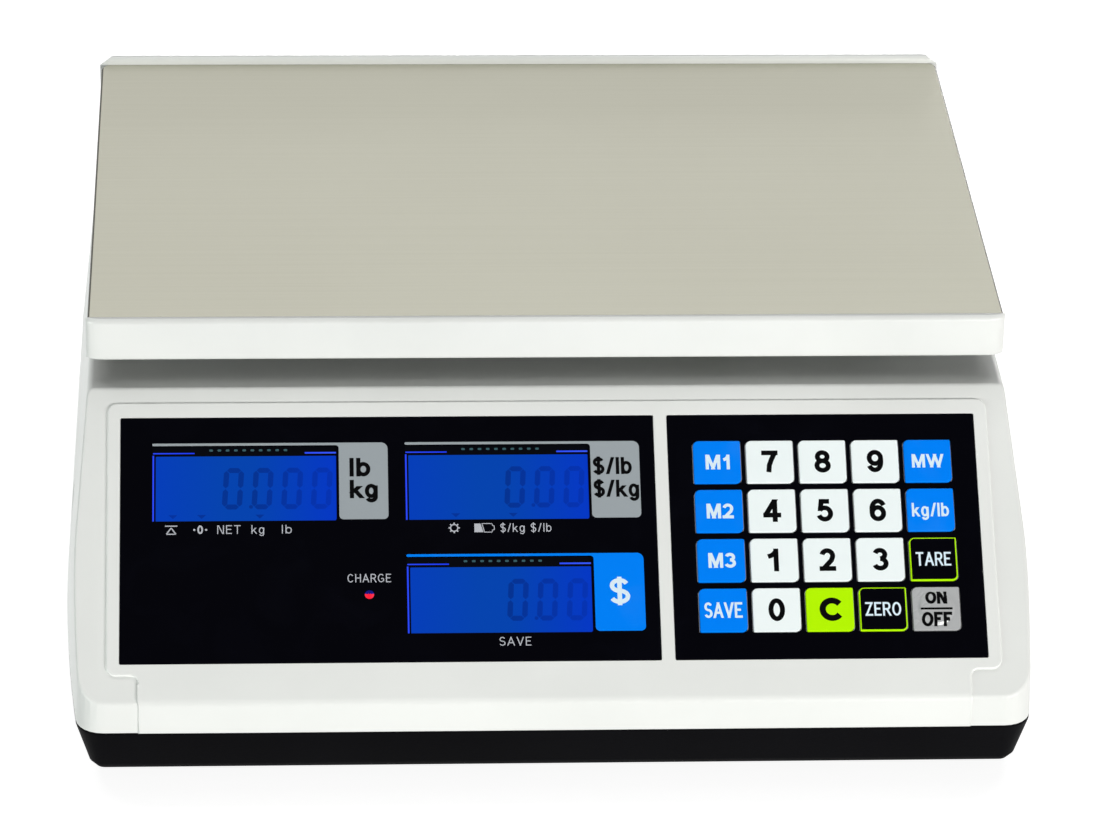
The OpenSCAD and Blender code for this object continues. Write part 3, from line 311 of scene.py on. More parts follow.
def add_bar(bm, start, end, width, low, high, skin=0):
    """A straight printed stroke."""
    start, end = Vector(start), Vector(end)
    along = (end - start).normalized() * width / 2
    side = Vector((-along.y, along.x))
    add_strip(bm, [start + side, end + side], [start - side, end - side], low, high, skin)


def circle(centre, radius, steps=24):
    """Points round a circle."""
    return [(centre[0] + radius * math.cos(2 * math.pi * i / steps),
             centre[1] + radius * math.sin(2 * math.pi * i / steps)) for i in range(steps)]


def add_lathe(bm, profile, centre, steps=48, notch=None):
    """A turned solid from (radius, height) pairs; notch(angle, z) is taken off the radius."""
    rings = []
    for radius, z in profile:
        ring = []
        for i in range(steps):
            angle = 2 * math.pi * i / steps
            r = max(radius - (notch(angle, z) if notch else 0), TINY)
            ring.append((centre[0] + r * math.cos(angle), centre[1] + r * math.sin(angle), z))
        rings.append(ring)
    return add_loft(bm, rings)


# Lettering: strokes on each letter's middle line, from (0, 0) at its lower left to (1, 1) at its upper right


def bow(x, y, wide, tall, start, end):
    """Points on an oval; start and end count quarter turns from its right side, anticlockwise."""
    steps = max(3, round(abs(end - start) * 7))
    turns = [(start + (end - start) * i / steps) * QUARTER for i in range(steps + 1)]
    return [(x + wide * math.cos(t), y + tall * math.sin(t)) for t in turns]


def chain(*points):
    """Straight strokes from point to point."""
    return [list(pair) for pair in zip(points, points[1:])]


S_CURVE = bow(0.5, 0.755, 0.46, 0.245, 0.25, 3) + bow(0.5, 0.255, 0.5, 0.255, 1, -1.75)[1:]
SIX = [bow(0.5, 0.32, 0.5, 0.32, 0, 4), bow(0.54, 0.56, 0.54, 0.44, 0.3, 2) + [(0, 0.32)]]
G_HOOK = [(0.94, 0.74), (0.94, 0.2), (0.94, -0.05)] + bow(0.48, -0.05, 0.46, 0.25, 0, -1.75)[1:]

LETTERS = {
    "0": (0.52, [bow(0.5, 0.5, 0.5, 0.5, 0, 4)]),
    "1": (0.34, [[(0.85, 0), (0.85, 1)], [(0.85, 0.98), (0.62, 0.84), (0.34, 0.74), (0, 0.69)]]),
    "2": (0.52, [bow(0.5, 0.71, 0.47, 0.29, 1.85, -0.1) + [(0.84, 0.46), (0.5, 0.24), (0.14, 0.0)],
                 [(0, 0), (1, 0)]]),
    "3": (0.52, [bow(0.47, 0.765, 0.43, 0.235, 1.8, -1), bow(0.47, 0.265, 0.5, 0.265, 1, -1.8)]),
    "4": (0.56, chain((0.72, 0), (0.72, 1)) + chain((0.66, 1), (0, 0.27)) + chain((0, 0.25), (1, 0.25))),
    "5": (0.52, chain((0.9, 1), (0.2, 1)) + chain((0.2, 1), (0.08, 0.46))
          + [bow(0.46, 0.32, 0.52, 0.32, 1.6, -1.8)]),
    "6": (0.52, SIX),
    "7": (0.52, chain((0, 1), (1, 1)) + [[(0.95, 1), (0.66, 0.64), (0.45, 0.3), (0.38, -0.09)]]),
    "8": (0.52, [bow(0.5, 0.765, 0.43, 0.235, 0, 4), bow(0.5, 0.265, 0.5, 0.265, 0, 4)]),
    "9": (0.52, [[(1 - x, 1 - y) for x, y in stroke] for stroke in SIX]),
    "A": (0.66, chain((0, 0), (0.5, 1), (1, 0)) + chain((0.24, 0.31), (0.76, 0.31))),
    "C": (0.62, [bow(0.5, 0.5, 0.5, 0.5, 0.42, 3.58)]),
    "E": (0.48, chain((1, 1), (0, 1), (0, 0), (1, 0)) + chain((0, 0.52), (0.94, 0.52))),
    "F": (0.44, chain((1, 1), (0, 1), (0, 0)) + chain((0, 0.5), (0.88, 0.5))),
    "G": (0.66, [bow(0.5, 0.5, 0.5, 0.5, 0.45, 3.5)] + chain((0.94, 0.1), (0.94, 0.44), (0.52, 0.44))),
    "H": (0.56, chain((0, 0), (0, 1)) + chain((1, 0), (1, 1)) + chain((0, 0.53), (1, 0.53))),
    "M": (0.72, chain((0, 0), (0, 1)) + chain((0.1, 1), (0.5, 0), (0.9, 1)) + chain((1, 1), (1, 0))),
    "N": (0.56, chain((0, 0), (0, 1)) + chain((0.15, 1), (0.85, 0)) + chain((1, 0), (1, 1))),
    "O": (0.64, [bow(0.5, 0.5, 0.5, 0.5, 0, 4)]),
    "R": (0.56, chain((0, 0), (0, 1), (0.6, 1)) + chain((0, 0.49), (0.6, 0.49)) + chain((0.5, 0.49), (1, 0))
          + [bow(0.6, 0.745, 0.34, 0.255, 1, -1)]),
    "S": (0.52, [S_CURVE]),
    "T": (0.54, chain((0, 1), (1, 1)) + chain((0.5, 1), (0.5, 0))),
    "V": (0.64, chain((0, 1), (0.5, 0), (1, 1))),
    "W": (0.98, chain((0, 1), (0.25, 0), (0.5, 1), (0.75, 0), (1, 1))),
    "Z": (0.52, chain((0, 1), (1, 1)) + chain((0.96, 1), (0.04, 0)) + chain((0, 0), (1, 0))),
    "b": (0.46, chain((0, 0), (0, 1)) + [bow(0.48, 0.36, 0.48, 0.36, 0, 4)]),
    "g": (0.46, [bow(0.46, 0.36, 0.46, 0.36, 0, 4), G_HOOK]),
    "k": (0.44, chain((0, 0), (0, 1)) + chain((0.9, 0.7), (0, 0.22)) + chain((0.34, 0.42), (0.95, 0))),
    "l": (0.0, chain((0, 0), (0, 1))),
    "$": (0.5, [S_CURVE] + [[(0.5, -0.16), (0.5, 1.16)]]),
    "/": (0.26, chain((0, 0), (1, 1))),
    " ": (0.1, []),
}
LETTER_GAP = 0.3
STROKE_STEP = 0.004 * MM
STEEP = 0.35
LEVEL = 0.05
LIFT_STEPS = 12


def is_steep(start, end):
    """True for a stroke that is cut level at its ends, false for one that is cut upright."""
    return abs(end[1] - start[1]) > STEEP * abs(end[0] - start[0])


def is_closed(points):
    """True for a bent stroke that ends where it starts."""
    return len(points) > 2 and math.dist(points[0], points[-1]) < 1e-9


def stroke_sides(points, width):
    """Left and right side of a stroke. A straight one is cut level or upright, a bent one square to its run."""
    half = width / 2
    if len(points) == 2:
        (ax, ay), (bx, by) = points
        steep = is_steep(*points)
        reach = half * math.dist(*points) / abs(by - ay if steep else bx - ax)
        side = (-reach, 0) if steep else (0, reach)
        return [[(x + k * side[0], y + k * side[1]) for x, y in points] for k in (1, -1)]
    closed = is_closed(points)
    line = points[:-1] if closed else points
    left, right = [], []
    for i, (x, y) in enumerate(line):
        ahead = line[(i + 1) % len(line)] if closed else line[min(i + 1, len(line) - 1)]
        behind = line[i - 1] if closed else line[max(i - 1, 0)]
        along = Vector((ahead[0] - behind[0], ahead[1] - behind[1])).normalized() * half
        left.append((x - along.y, y + along.x))
        right.append((x + along.y, y - along.x))
    return left, right


def reach_out(points, stroke):
    """A straight stroke made longer by half its width at both ends."""
    (ax, ay), (bx, by) = points
    more = stroke / 2 / abs(by - ay if is_steep(*points) else bx - ax)
    return [(ax + (ax - bx) * more, ay + (ay - by) * more), (bx + (bx - ax) * more, by + (by - ay) * more)]


def add_letters(bm, text, width, cap, middle, baseline, low, high, stroke, skin=0, lift=None):
    """Raised lettering of a given overall width, height of its capitals and width of stroke."""
    shapes = [LETTERS[c] for c in text]
    units = sum(w for w, _ in shapes) + LETTER_GAP * (len(shapes) - 1)
    across = (width - stroke) / units if units else 0
    rise = cap - stroke
    x = middle - width / 2 + stroke / 2
    y = baseline + stroke / 2
    for wide, strokes in shapes:
        for step, points in enumerate(strokes):
            line = [(x + px * wide * across, y + py * rise) for px, py in points]
            straight = len(points) == 2
            if straight:
                axis = int(abs(points[0][1] - points[1][1]) > LEVEL)
                longer = reach_out(line, stroke)
                line = [longer[i] if points[i][axis] in (0, 1) else line[i] for i in range(2)]
            sides = stroke_sides(line, stroke)
            if straight and lift:
                shares = [i / LIFT_STEPS for i in range(LIFT_STEPS + 1)]
                sides = [[Vector(a).lerp(Vector(b), share) for share in shares] for a, b in sides]
            add_strip(bm, *sides, low, high + step * STROKE_STEP, skin, lift, is_closed(points))
        x += (wide + LETTER_GAP) * across


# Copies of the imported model


def everything(bm):
    """All vertices, edges and faces of a mesh."""
    return bm.verts[:] + bm.edges[:] + bm.faces[:]


def plain_copy(node):
    """The mesh of a CAD node with its vertices joined."""
    bm = bmesh.new()
    bm.from_mesh(NODES[node].data)
    bmesh.ops.remove_doubles(bm, verts=bm.verts, dist=WELD)
    bm.normal_update()
    return bm


def rounded_copy(node, width_of, segments=3, cuts=(), adjust=None):
    """A copy of a CAD node with rounded edges; width_of(edge) gives each sharp edge's radius.

    Planes in cuts, each a point and a normal, split faces that have a hole in them.
    """
    bm = plain_copy(node)
    if adjust:
        adjust(bm)
    for point, normal in cuts:
        made = bmesh.ops.bisect_plane(bm, geom=everything(bm), dist=WELD, plane_co=point, plane_no=normal)
        for part in made["geom_cut"]:
            if isinstance(part, bmesh.types.BMEdge):
                part.seam = True
    bmesh.ops.dissolve_limit(bm, angle_limit=FLAT_ANGLE, verts=bm.verts, edges=bm.edges, delimit={"SEAM"})
    bm.normal_update()
    weights = bm.edges.layers.float.new("bevel_weight_edge")
    widths = [
        (edge, width_of(edge)) for edge in bm.edges
        if len(edge.link_faces) == 2 and edge.calc_face_angle(0) > SHARP_ANGLE
    ]
    widest = max((width for _, width in widths), default=0)
    for edge, width in widths:
        edge[weights] = width / widest if widest else 0
    mesh = bpy.data.meshes.new(node)
    bm.to_mesh(mesh)
    bm.free()
    holder = bpy.data.objects.new(node + "_holder", mesh)
    bpy.context.scene.collection.objects.link(holder)
    if widest:
        rounding = holder.modifiers.new("Rounded edges", "BEVEL")
        rounding.limit_method = "WEIGHT"
        rounding.width = widest
        rounding.segments = segments
        rounding.use_clamp_overlap = False
        rounding.loop_slide = False
    bpy.context.view_layer.update()
    result = bpy.data.meshes.new_from_object(holder.evaluated_get(bpy.context.evaluated_depsgraph_get()))
    bm = bmesh.new()
    bm.from_mesh(result)
    bpy.data.objects.remove(holder)
    bpy.data.meshes.remove(mesh)
    bpy.data.meshes.remove(result)
    bmesh.ops.remove_doubles(bm, verts=bm.verts, dist=MERGE)
    for layer in list(bm.edges.layers.float.values()):
        bm.edges.layers.float.remove(layer)
    for face in bm.faces:
        face.material_index = 0
    return bm


def make_piece(name, bm, finishes, body, slot, place=None, replaced=()):
    """Turns a mesh into a piece of the scale that rides on a body, or on none if it is to bend between two."""
    if not bm.faces:
        raise RuntimeError(f"{name} has no faces")
    bmesh.ops.recalc_face_normals(bm, faces=bm.faces)
    bm.normal_update()
    for face in bm.faces:
        face.smooth = True
    for edge in bm.edges:
        edge.smooth = edge.calc_face_angle(math.pi) < SMOOTH_ANGLE
    mesh = bpy.data.meshes.new(name)
    bm.to_mesh(mesh)
    bm.free()
    for finish in finishes:
        mesh.materials.append(finish_of(finish))
    piece = bpy.data.objects.new(name, mesh)
    bpy.context.scene.collection.objects.link(piece)
    if place is not None:
        piece.matrix_world = place
    even = piece.modifiers.new("Even shading", "WEIGHTED_NORMAL")
    even.keep_sharp = True
    if body:
        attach(piece, body)
    if replaced:
        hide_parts(*replaced)
    return piece


# Finishes

MIX_FACTOR, MIX_A, MIX_B, MIX_RESULT = 0, 6, 7, 2
WHITE = (1, 1, 1, 1)
RELIEF = 0.1 * MM
FILM_TEXTURE, FILM_DEPTH, METAL_DEPTH = 4500, 0.05, 0.12


def shade(tint):
    """Opaque colour from a hexadecimal screen colour or the name of one of the user's colours."""
    return (*(linear(tint) if tint.startswith("#") else getattr(colours(), tint)), 1)


def add_node(tree, kind, inputs=(), **settings):
    """A shader node with its settings; an input is a value or a socket to link."""
    made = tree.nodes.new(kind)
    for key, value in settings.items():
        setattr(made, key, value)
    for key, value in dict(inputs).items():
        if isinstance(value, bpy.types.NodeSocket):
            tree.links.new(value, made.inputs[key])
        else:
            made.inputs[key].default_value = value
    return made


def add_math(tree, operation, *values):
    """A sum with values or sockets."""
    return add_node(tree, "ShaderNodeMath", dict(enumerate(values)), operation=operation).outputs[0]


def add_mix(tree, factor, first, second):
    """Blends two colours by a factor."""
    inputs = {MIX_FACTOR: factor, MIX_A: first, MIX_B: second}
    return add_node(tree, "ShaderNodeMix", inputs, data_type="RGBA").outputs[MIX_RESULT]


def add_noise(tree, place, scale, detail, **more):
    """A noise pattern over a place."""
    inputs = {"Vector": place, "Scale": scale, "Detail": detail, **more}
    return add_node(tree, "ShaderNodeTexNoise", inputs).outputs["Fac"]


def add_range(tree, value, low, high):
    """A mask that rises from 0 at low to 1 at high."""
    inputs = {"Value": value, "From Min": low, "From Max": high}
    return add_node(tree, "ShaderNodeMapRange", inputs).outputs["Result"]


def add_relief(tree, shader, height, strength):
    """Fine relief on a shader's surface."""
    relief = add_node(tree, "ShaderNodeBump", {"Height": height, "Strength": strength, "Distance": RELIEF})
    tree.links.new(relief.outputs["Normal"], shader.inputs["Normal"])


def new_group(name, inputs, outputs):
    """An empty shader node group with named colours and values."""
    group = bpy.data.node_groups.new(name, "ShaderNodeTree")
    for way, labels in (("INPUT", inputs), ("OUTPUT", outputs)):
        for label in labels:
            kind = "NodeSocketColor" if label.endswith("Colour") else "NodeSocketFloat"
            group.interface.new_socket(label, in_out=way, socket_type=kind)
    return group, group.nodes.new("NodeGroupInput").outputs, group.nodes.new("NodeGroupOutput").inputs


def moulded_pattern(group, given, place):
    """Moulded plastic: faint soiling, uneven gloss and a fine spark-eroded grain."""
    patches = add_noise(group, place, 14, 4)
    grain = add_noise(group, place, given["Grain Scale"], 2)
    return add_range(group, patches, 0.4, 0.8), patches, grain


def brushed_pattern(group, given, place):
    """Metal with straight brush lines along one axis."""
    across, along = given["Stretch X"], given["Stretch Y"]
    stretch = add_node(group, "ShaderNodeCombineXYZ", {"X": across, "Y": along, "Z": along}).outputs[0]
    drawn = add_node(group, "ShaderNodeVectorMath", {0: place, 1: stretch}, operation="MULTIPLY").outputs[0]
    lines = add_noise(group, drawn, 1, 5, Roughness=0.7)
    clouds = add_noise(group, place, 9, 3)
    return add_range(group, add_math(group, "MULTIPLY", lines, clouds), 0.12, 0.45), lines, lines


def handled_pattern(group, given, place):
    """Printed film: even ink with faint handling marks in its gloss and a fine surface texture."""
    marks = add_range(group, add_noise(group, place, 40, 6, Distortion=1.2), 0.5, 0.8)
    return marks, marks, add_noise(group, place, given["Texture Scale"], 1)


# What the second colour of a surface is, the scales of its pattern, and the pattern
SURFACES = {
    "Moulded Surface": ("Soil", ("Grain Scale",), moulded_pattern),
    "Brushed Surface": ("Line", ("Stretch X", "Stretch Y"), brushed_pattern),
    "Handled Film": ("Mark", ("Texture Scale",), handled_pattern),
}


def surface_inputs(name):
    """Names of a surface group's inputs, in order."""
    second, scales, _ = SURFACES[name]
    return ["Colour", second + " Colour", second + " Amount", *scales, "Roughness", "Roughness Spread"]


def surface_group(name):
    """The shared surface group of that name, built when it is first asked for.

    Its pattern gives the mask of the second colour, the spread of the roughness and the height.
    """
    if name in bpy.data.node_groups:
        return bpy.data.node_groups[name]
    labels = surface_inputs(name)
    group, given, out = new_group(name, labels, ("Colour", "Roughness", "Height"))
    place = add_node(group, "ShaderNodeTexCoord").outputs["Object"]
    mask, spread, height = SURFACES[name][2](group, given, place)
    amount = add_math(group, "MULTIPLY", mask, given[labels[2]])
    rough = add_math(group, "MULTIPLY_ADD", spread, given["Roughness Spread"], given["Roughness"])
    group.links.new(add_mix(group, amount, given[labels[0]], given[labels[1]]), out["Colour"])
    group.links.new(rough, out["Roughness"])
    group.links.new(height, out["Height"])
    return group


def backlit_group():
    """The shared group for light behind a face: one colour in its middle and another towards its sides."""
    name = "Backlit Face"
    if name in bpy.data.node_groups:
        return bpy.data.node_groups[name]
    group, given, out = new_group(name, ("Middle Colour", "Side Colour"), ("Colour",))
    place = add_node(group, "ShaderNodeTexCoord").outputs["Generated"]
    across = add_node(group, "ShaderNodeSeparateXYZ", {0: place}).outputs["X"]
    right = add_range(group, across, 0.55, 1.0)
    left = add_range(group, across, 0.4, -0.4)
    sides = add_math(group, "MAXIMUM", left, right)
    group.links.new(add_mix(group, sides, given["Middle Colour"], given["Side Colour"]), out["Colour"])
    return group


def new_material(name, **values):
    """A material, its node tree and its shader, with constant values on the shader."""
    material = bpy.data.materials.new(name)
    material.use_nodes = True
    shader = material.node_tree.nodes["Principled BSDF"]
    for key, value in values.items():
        shader.inputs[key.replace("_", " ")].default_value = value
    return material, material.node_tree, shader


def surfaced(name, group, values, depth, **constants):
    """A material whose colour, gloss and fine relief come from a shared surface group."""
    material, tree, shader = new_material(name, **constants)
    given = dict(zip(surface_inputs(group), values))
    surface = add_node(tree, "ShaderNodeGroup", given, node_tree=surface_group(group)).outputs
    tree.links.new(surface["Colour"], shader.inputs["Base Color"])
    tree.links.new(surface["Roughness"], shader.inputs["Roughness"])
    add_relief(tree, shader, surface["Height"], depth)
    return material


def moulded(
    name, tint, soil="#8E938C", amount=0.12, grain=2600, depth=0.25, rough=0.32, spread=0.14, gloss=0.5
):
    """Moulded plastic in a colour."""
    values = (shade(tint), shade(soil), amount, grain, rough, spread)
    return surfaced(name, "Moulded Surface", values, depth, Specular_IOR_Level=gloss)


def printed(name, tint, mark="#9AA0A6", amount=0.04, rough=0.22, spread=0.16, gloss=0.5, **constants):
    """Printed film or ink in a colour."""
    values = (shade(tint), shade(mark), amount, FILM_TEXTURE, rough, spread)
    return surfaced(name, "Handled Film", values, FILM_DEPTH, Specular_IOR_Level=gloss, **constants)


def metal(name, tint, line, amount=0.35, across=4, along=900, rough=0.3, spread=0.16, gloss=0.5):
    """Brushed or machined metal in a colour."""
    values = (shade(tint), shade(line), amount, across, along, rough, spread)
    return surfaced(name, "Brushed Surface", values, METAL_DEPTH, Metallic=1.0, Specular_IOR_Level=gloss)


def glowing(name, middle, side):
    """A backlit face, with one colour in its middle and another towards its sides."""
    material, tree, shader = new_material(
        name, Emission_Strength=1.0, Base_Color=(0.0, 0.002, 0.01, 1), Roughness=0.25, Specular_IOR_Level=0.03
    )
    given = {"Middle Colour": shade(middle), "Side Colour": shade(side)}
    face = add_node(tree, "ShaderNodeGroup", given, node_tree=backlit_group())
    tree.links.new(face.outputs["Colour"], shader.inputs["Emission Color"])
    return material


def circuit(name):
    """Green solder mask with paler copper runs under it."""
    material, tree, shader = new_material(name, Roughness=0.35)
    place = add_node(tree, "ShaderNodeTexCoord").outputs["Object"]
    runs = add_node(tree, "ShaderNodeTexVoronoi", {"Vector": place, "Scale": 120}, distance="MANHATTAN")
    mask = add_range(tree, runs.outputs["Distance"], 0.5, 0.55)
    tree.links.new(add_mix(tree, mask, shade("#0F4A22"), shade("#2C7A3F")), shader.inputs["Base Color"])
    add_relief(tree, shader, mask, 0.3)
    return material


FINISHES = {
    "housing white": lambda n: moulded(n, "housing"),
    "panel white": lambda n: moulded(n, "panel"),
    "tray white": lambda n: moulded(n, "tray", rough=0.26),
    "base black": lambda n: moulded(n, "base", "#2A2A2E", 0.1, 1600, 0.5, 0.42, gloss=0.02),
    "film black": lambda n: printed(n, "film", "#1A1C22", 0.06, 0.16, 0.2, 0.02),
    "steel sheet": lambda n: metal(n, "steel", "#A5A294"),
    # Darker copy of the stainless steel for the sheet's folded sides: painted shade along the folds.
    "steel fold": lambda n: metal(n, "#3A382C", "#2A2820"),
    "key blue": lambda n: printed(n, "key_blue", rough=0.3, gloss=0.05),
    "key white": lambda n: printed(n, "key_white", rough=0.3, gloss=0.3),
    "key green": lambda n: printed(n, "key_green", rough=0.3, gloss=0.05),
    "key grey": lambda n: printed(n, "key_grey", rough=0.26, spread=0.08, gloss=1.0),
    "key black": lambda n: printed(n, "film", "#1A1C22", 0.06, 0.2, 0.2, 0.02),
    "tab grey": lambda n: printed(n, "tab", rough=0.3, gloss=0.05),
    "tab blue": lambda n: printed(n, "key_blue", rough=0.3, gloss=0.05),
    "ink white": lambda n: printed(n, "ink_white", rough=0.4, gloss=0.05),
    "ink bright": lambda n: printed(n, "#E2F4FF", rough=0.4, gloss=0.05),
    "ink black": lambda n: printed(n, "#030304", "#2A2A2E", 0.04, 0.4, gloss=0.03),
    "display glass": lambda n: printed(n, "#02030A", "#101624", 0.1, 0.1, gloss=0.03),
    "display light": lambda n: glowing(n, "light", "#0034C4"),
    "display rim": lambda n: glowing(n, "#1434FF", "#3A5CFF"),
    "display digit": lambda n: glowing(n, "digit", "#0030B4"),
    "display pin": lambda n: printed(n, "#164A52", rough=0.3),
    "light guide": lambda n: moulded(n, "#DCE4EC", rough=0.5),
    "lamp red": lambda n: glowing(n, "#FF1E32", "#FF4058"),
    # Dark blue glow on the upper part of the charge lamp: a painted reflection on its lens.
    "lamp blue": lambda n: glowing(n, "#101070", "#1C1C96"),
    "circuit board": circuit,
    "circuit film": lambda n: printed(n, "#5E6B62", "#C9CDB8", 0.5),
    "component black": lambda n: moulded(n, "#232326", "#54565C", 0.3, 900, 0.3, 0.5),
    "battery case": lambda n: moulded(n, "#3B3E45", "#60646C", 0.3, 1200, 0.3, 0.45),
    "inlet black": lambda n: moulded(n, "#151517", "#3A3A3E", 0.2, 1800, 0.3, 0.4),
    "cast aluminium": lambda n: metal(n, "#B9BBBD", "#84868A", 0.5, 220, 260, 0.42),
    "zinc steel": lambda n: metal(n, "#B4B4AE", "#7A7A72", 0.4, 300, 700, 0.32),
    "dome steel": lambda n: metal(n, "#C4C4C4", "#8A8A8A", 0.3, 60, 500, 0.25),
    "level vial": lambda n: printed(n, "#B6D957", rough=0.06, spread=0.04, Transmission_Weight=0.6, IOR=1.45),
    "soft rubber": lambda n: moulded(n, "#1A1A1B", "#4A4A48", 0.35, 1100, 0.6, 0.7, 0.2),
    "lead sheath": lambda n: moulded(n, "#2E2F33", "#5A5C60", 0.3, 1400, 0.4, 0.6),
    "ribbon": lambda n: metal(n, "#8E949C", "#4E545C", 0.8, 800, 3, 0.5, 0.1, 0.3),
}


def finish_of(name):
    """The material of that name, made when it is first asked for."""
    return bpy.data.materials.get(name) or FINISHES[name](name)


# Housings


class SCALE_OT_housing(Operator):
    """Upper housing, with rounded slope, skirt and deck"""

    bl_idname = "price_scale.housing"
    bl_label = "Upper Housing"

    def execute(self, context):
        size = sizes()
        inverse = DISPLAY.inverted()
        _, up_slope, slope_out = DISPLAY.to_3x3().col
        slope_z = local_box("upper_housing", DISPLAY)[1].z
        low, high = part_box("front_panel")
        centre = (low + high) / 2

        def width_of(edge):
            ends = [v.co for v in edge.verts]
            middle = (ends[0] + ends[1]) / 2
            if all(abs((inverse @ p).z - slope_z) < FLUSH for p in ends):
                side = min(edge.link_faces, key=lambda f: f.normal.dot(slope_out)).normal
                pocket = side.dot(middle - centre) < 0
                return 0 if pocket else size.slope_edge
            if all(p.z > HOUSING_HIGH.z - FLUSH for p in ends):
                return size.hole_edge
            if all(p.z < HOUSING_LOW.z + FLUSH for p in ends):
                return size.parting_edge
            return 0

        panel = local_box("front_panel", DISPLAY)
        cuts = [(DISPLAY @ Vector((p.x, 0, 0)), X_AXIS) for p in panel]
        cuts.append((DISPLAY @ Vector((0, panel[1].y, 0)), up_slope))
        bm = rounded_copy("upper_housing", width_of, 4, cuts)
        make_piece("housing_shell", bm, ["housing white"], "base", "housing_white", replaced=["upper_housing"])
        return {"FINISHED"}


class SCALE_OT_base(Operator):
    """Black base with its battery cover"""

    bl_idname = "price_scale.base"
    bl_label = "Base"

    # Lines through the holes in the floor, in mm from the middle of the scale
    HOLE_LINES = (-128.5, -105.45, -65.45, 14.55, 40.56, 50.41, 60.26, 112.5, 128.5)
    # Upward share of the normals of walls that flare out from the floor
    FLARE = (-0.6, -0.1)

    def execute(self, context):
        size = sizes()
        flattest, steepest = self.FLARE

        def width_of(edge):
            ends = [v.co for v in edge.verts]
            if all(p.z < BASE_LOW.z + FLUSH for p in ends):
                flaring = any(flattest < f.normal.z < steepest for f in edge.link_faces)
                return size.base_edge if flaring else size.parting_edge
            if all(abs(p.z - HOUSING_LOW.z) < FLUSH for p in ends):
                return size.parting_edge
            return 0

        cuts = [(Vector((0, y * MM, 0)), Y_AXIS) for y in self.HOLE_LINES]
        bm = rounded_copy("base_tray", width_of, 4, cuts)
        make_piece("base_shell", bm, ["base black"], "base", "base_black", replaced=["base_tray"])
        bm = rounded_copy("battery_cover", lambda edge: size.hole_edge, 2)
        make_piece("battery_hatch", bm, ["base black"], "base", "base_black", replaced=["battery_cover"])
        return {"FINISHED"}


class SCALE_OT_front_panel(Operator):
    """Raised panel on the slope and its apron over the skirt"""

    bl_idname = "price_scale.front_panel"
    bl_label = "Front Panel"

    CLOSER = 0.24 * MM
    WALL = 0.2
    # Shares of the display film's width at which a line passes through its windows
    WINDOW_LINES = (0.23, 0.7)

    def execute(self, context):
        size = sizes()
        inverse = DISPLAY.inverted()
        right_along, _, out = DISPLAY.to_3x3().col
        films = [local_box(n, DISPLAY) for n in ("display_overlay", "keypad_overlay")]
        left, right = films[0][0].x - MM, films[1][1].x + MM
        low, high = films[0][0].y - MM, films[0][1].y + MM
        face = local_box("front_panel", DISPLAY)[1].z
        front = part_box("front_panel")[0].y

        def width_of(edge):
            ends = [inverse @ v.co for v in edge.verts]
            on_face = all(abs(p.z - face) < FLUSH for p in ends)
            on_apron = all(abs(v.co.y - front) < FLUSH for v in edge.verts)
            if on_face and on_apron:
                return size.bend_edge
            beside = all(p.x < left or p.x > right or p.y < low or p.y > high for p in ends)
            if (on_face and beside) or on_apron:
                return size.panel_edge
            return size.film_edge if on_face else 0

        def close_gap(bm):
            """Spreads the panel's outer walls, so that it fits its pocket without a dark gap."""
            moves = []
            for v in bm.verts:
                p = inverse @ v.co
                if left < p.x < right and low < p.y < high:
                    continue
                walls = [f.normal for f in v.link_faces if abs(f.normal.dot(out)) < self.WALL]
                if walls:
                    moves.append((v, sum(walls, Vector()).normalized() * self.CLOSER))
            for v, move in moves:
                v.co += move

        places = [films[0][0].lerp(films[0][1], share).x for share in self.WINDOW_LINES]
        places.append((films[0][1].x + films[1][0].x) / 2)
        cuts = [(DISPLAY @ Vector((x, 0, 0)), right_along) for x in places]
        bm = rounded_copy("front_panel", width_of, cuts=cuts, adjust=close_gap)
        make_piece("panel_moulding", bm, ["panel white"], "base", "panel_white", replaced=["front_panel"])
        return {"FINISHED"}


# Films and displays

DISPLAY_BORDER = 2 * MM


def window(low, high):
    """Left, right, bottom and top of the window over a display."""
    return low.x + DISPLAY_BORDER, high.x - DISPLAY_BORDER, low.y + DISPLAY_BORDER, high.y - DISPLAY_BORDER


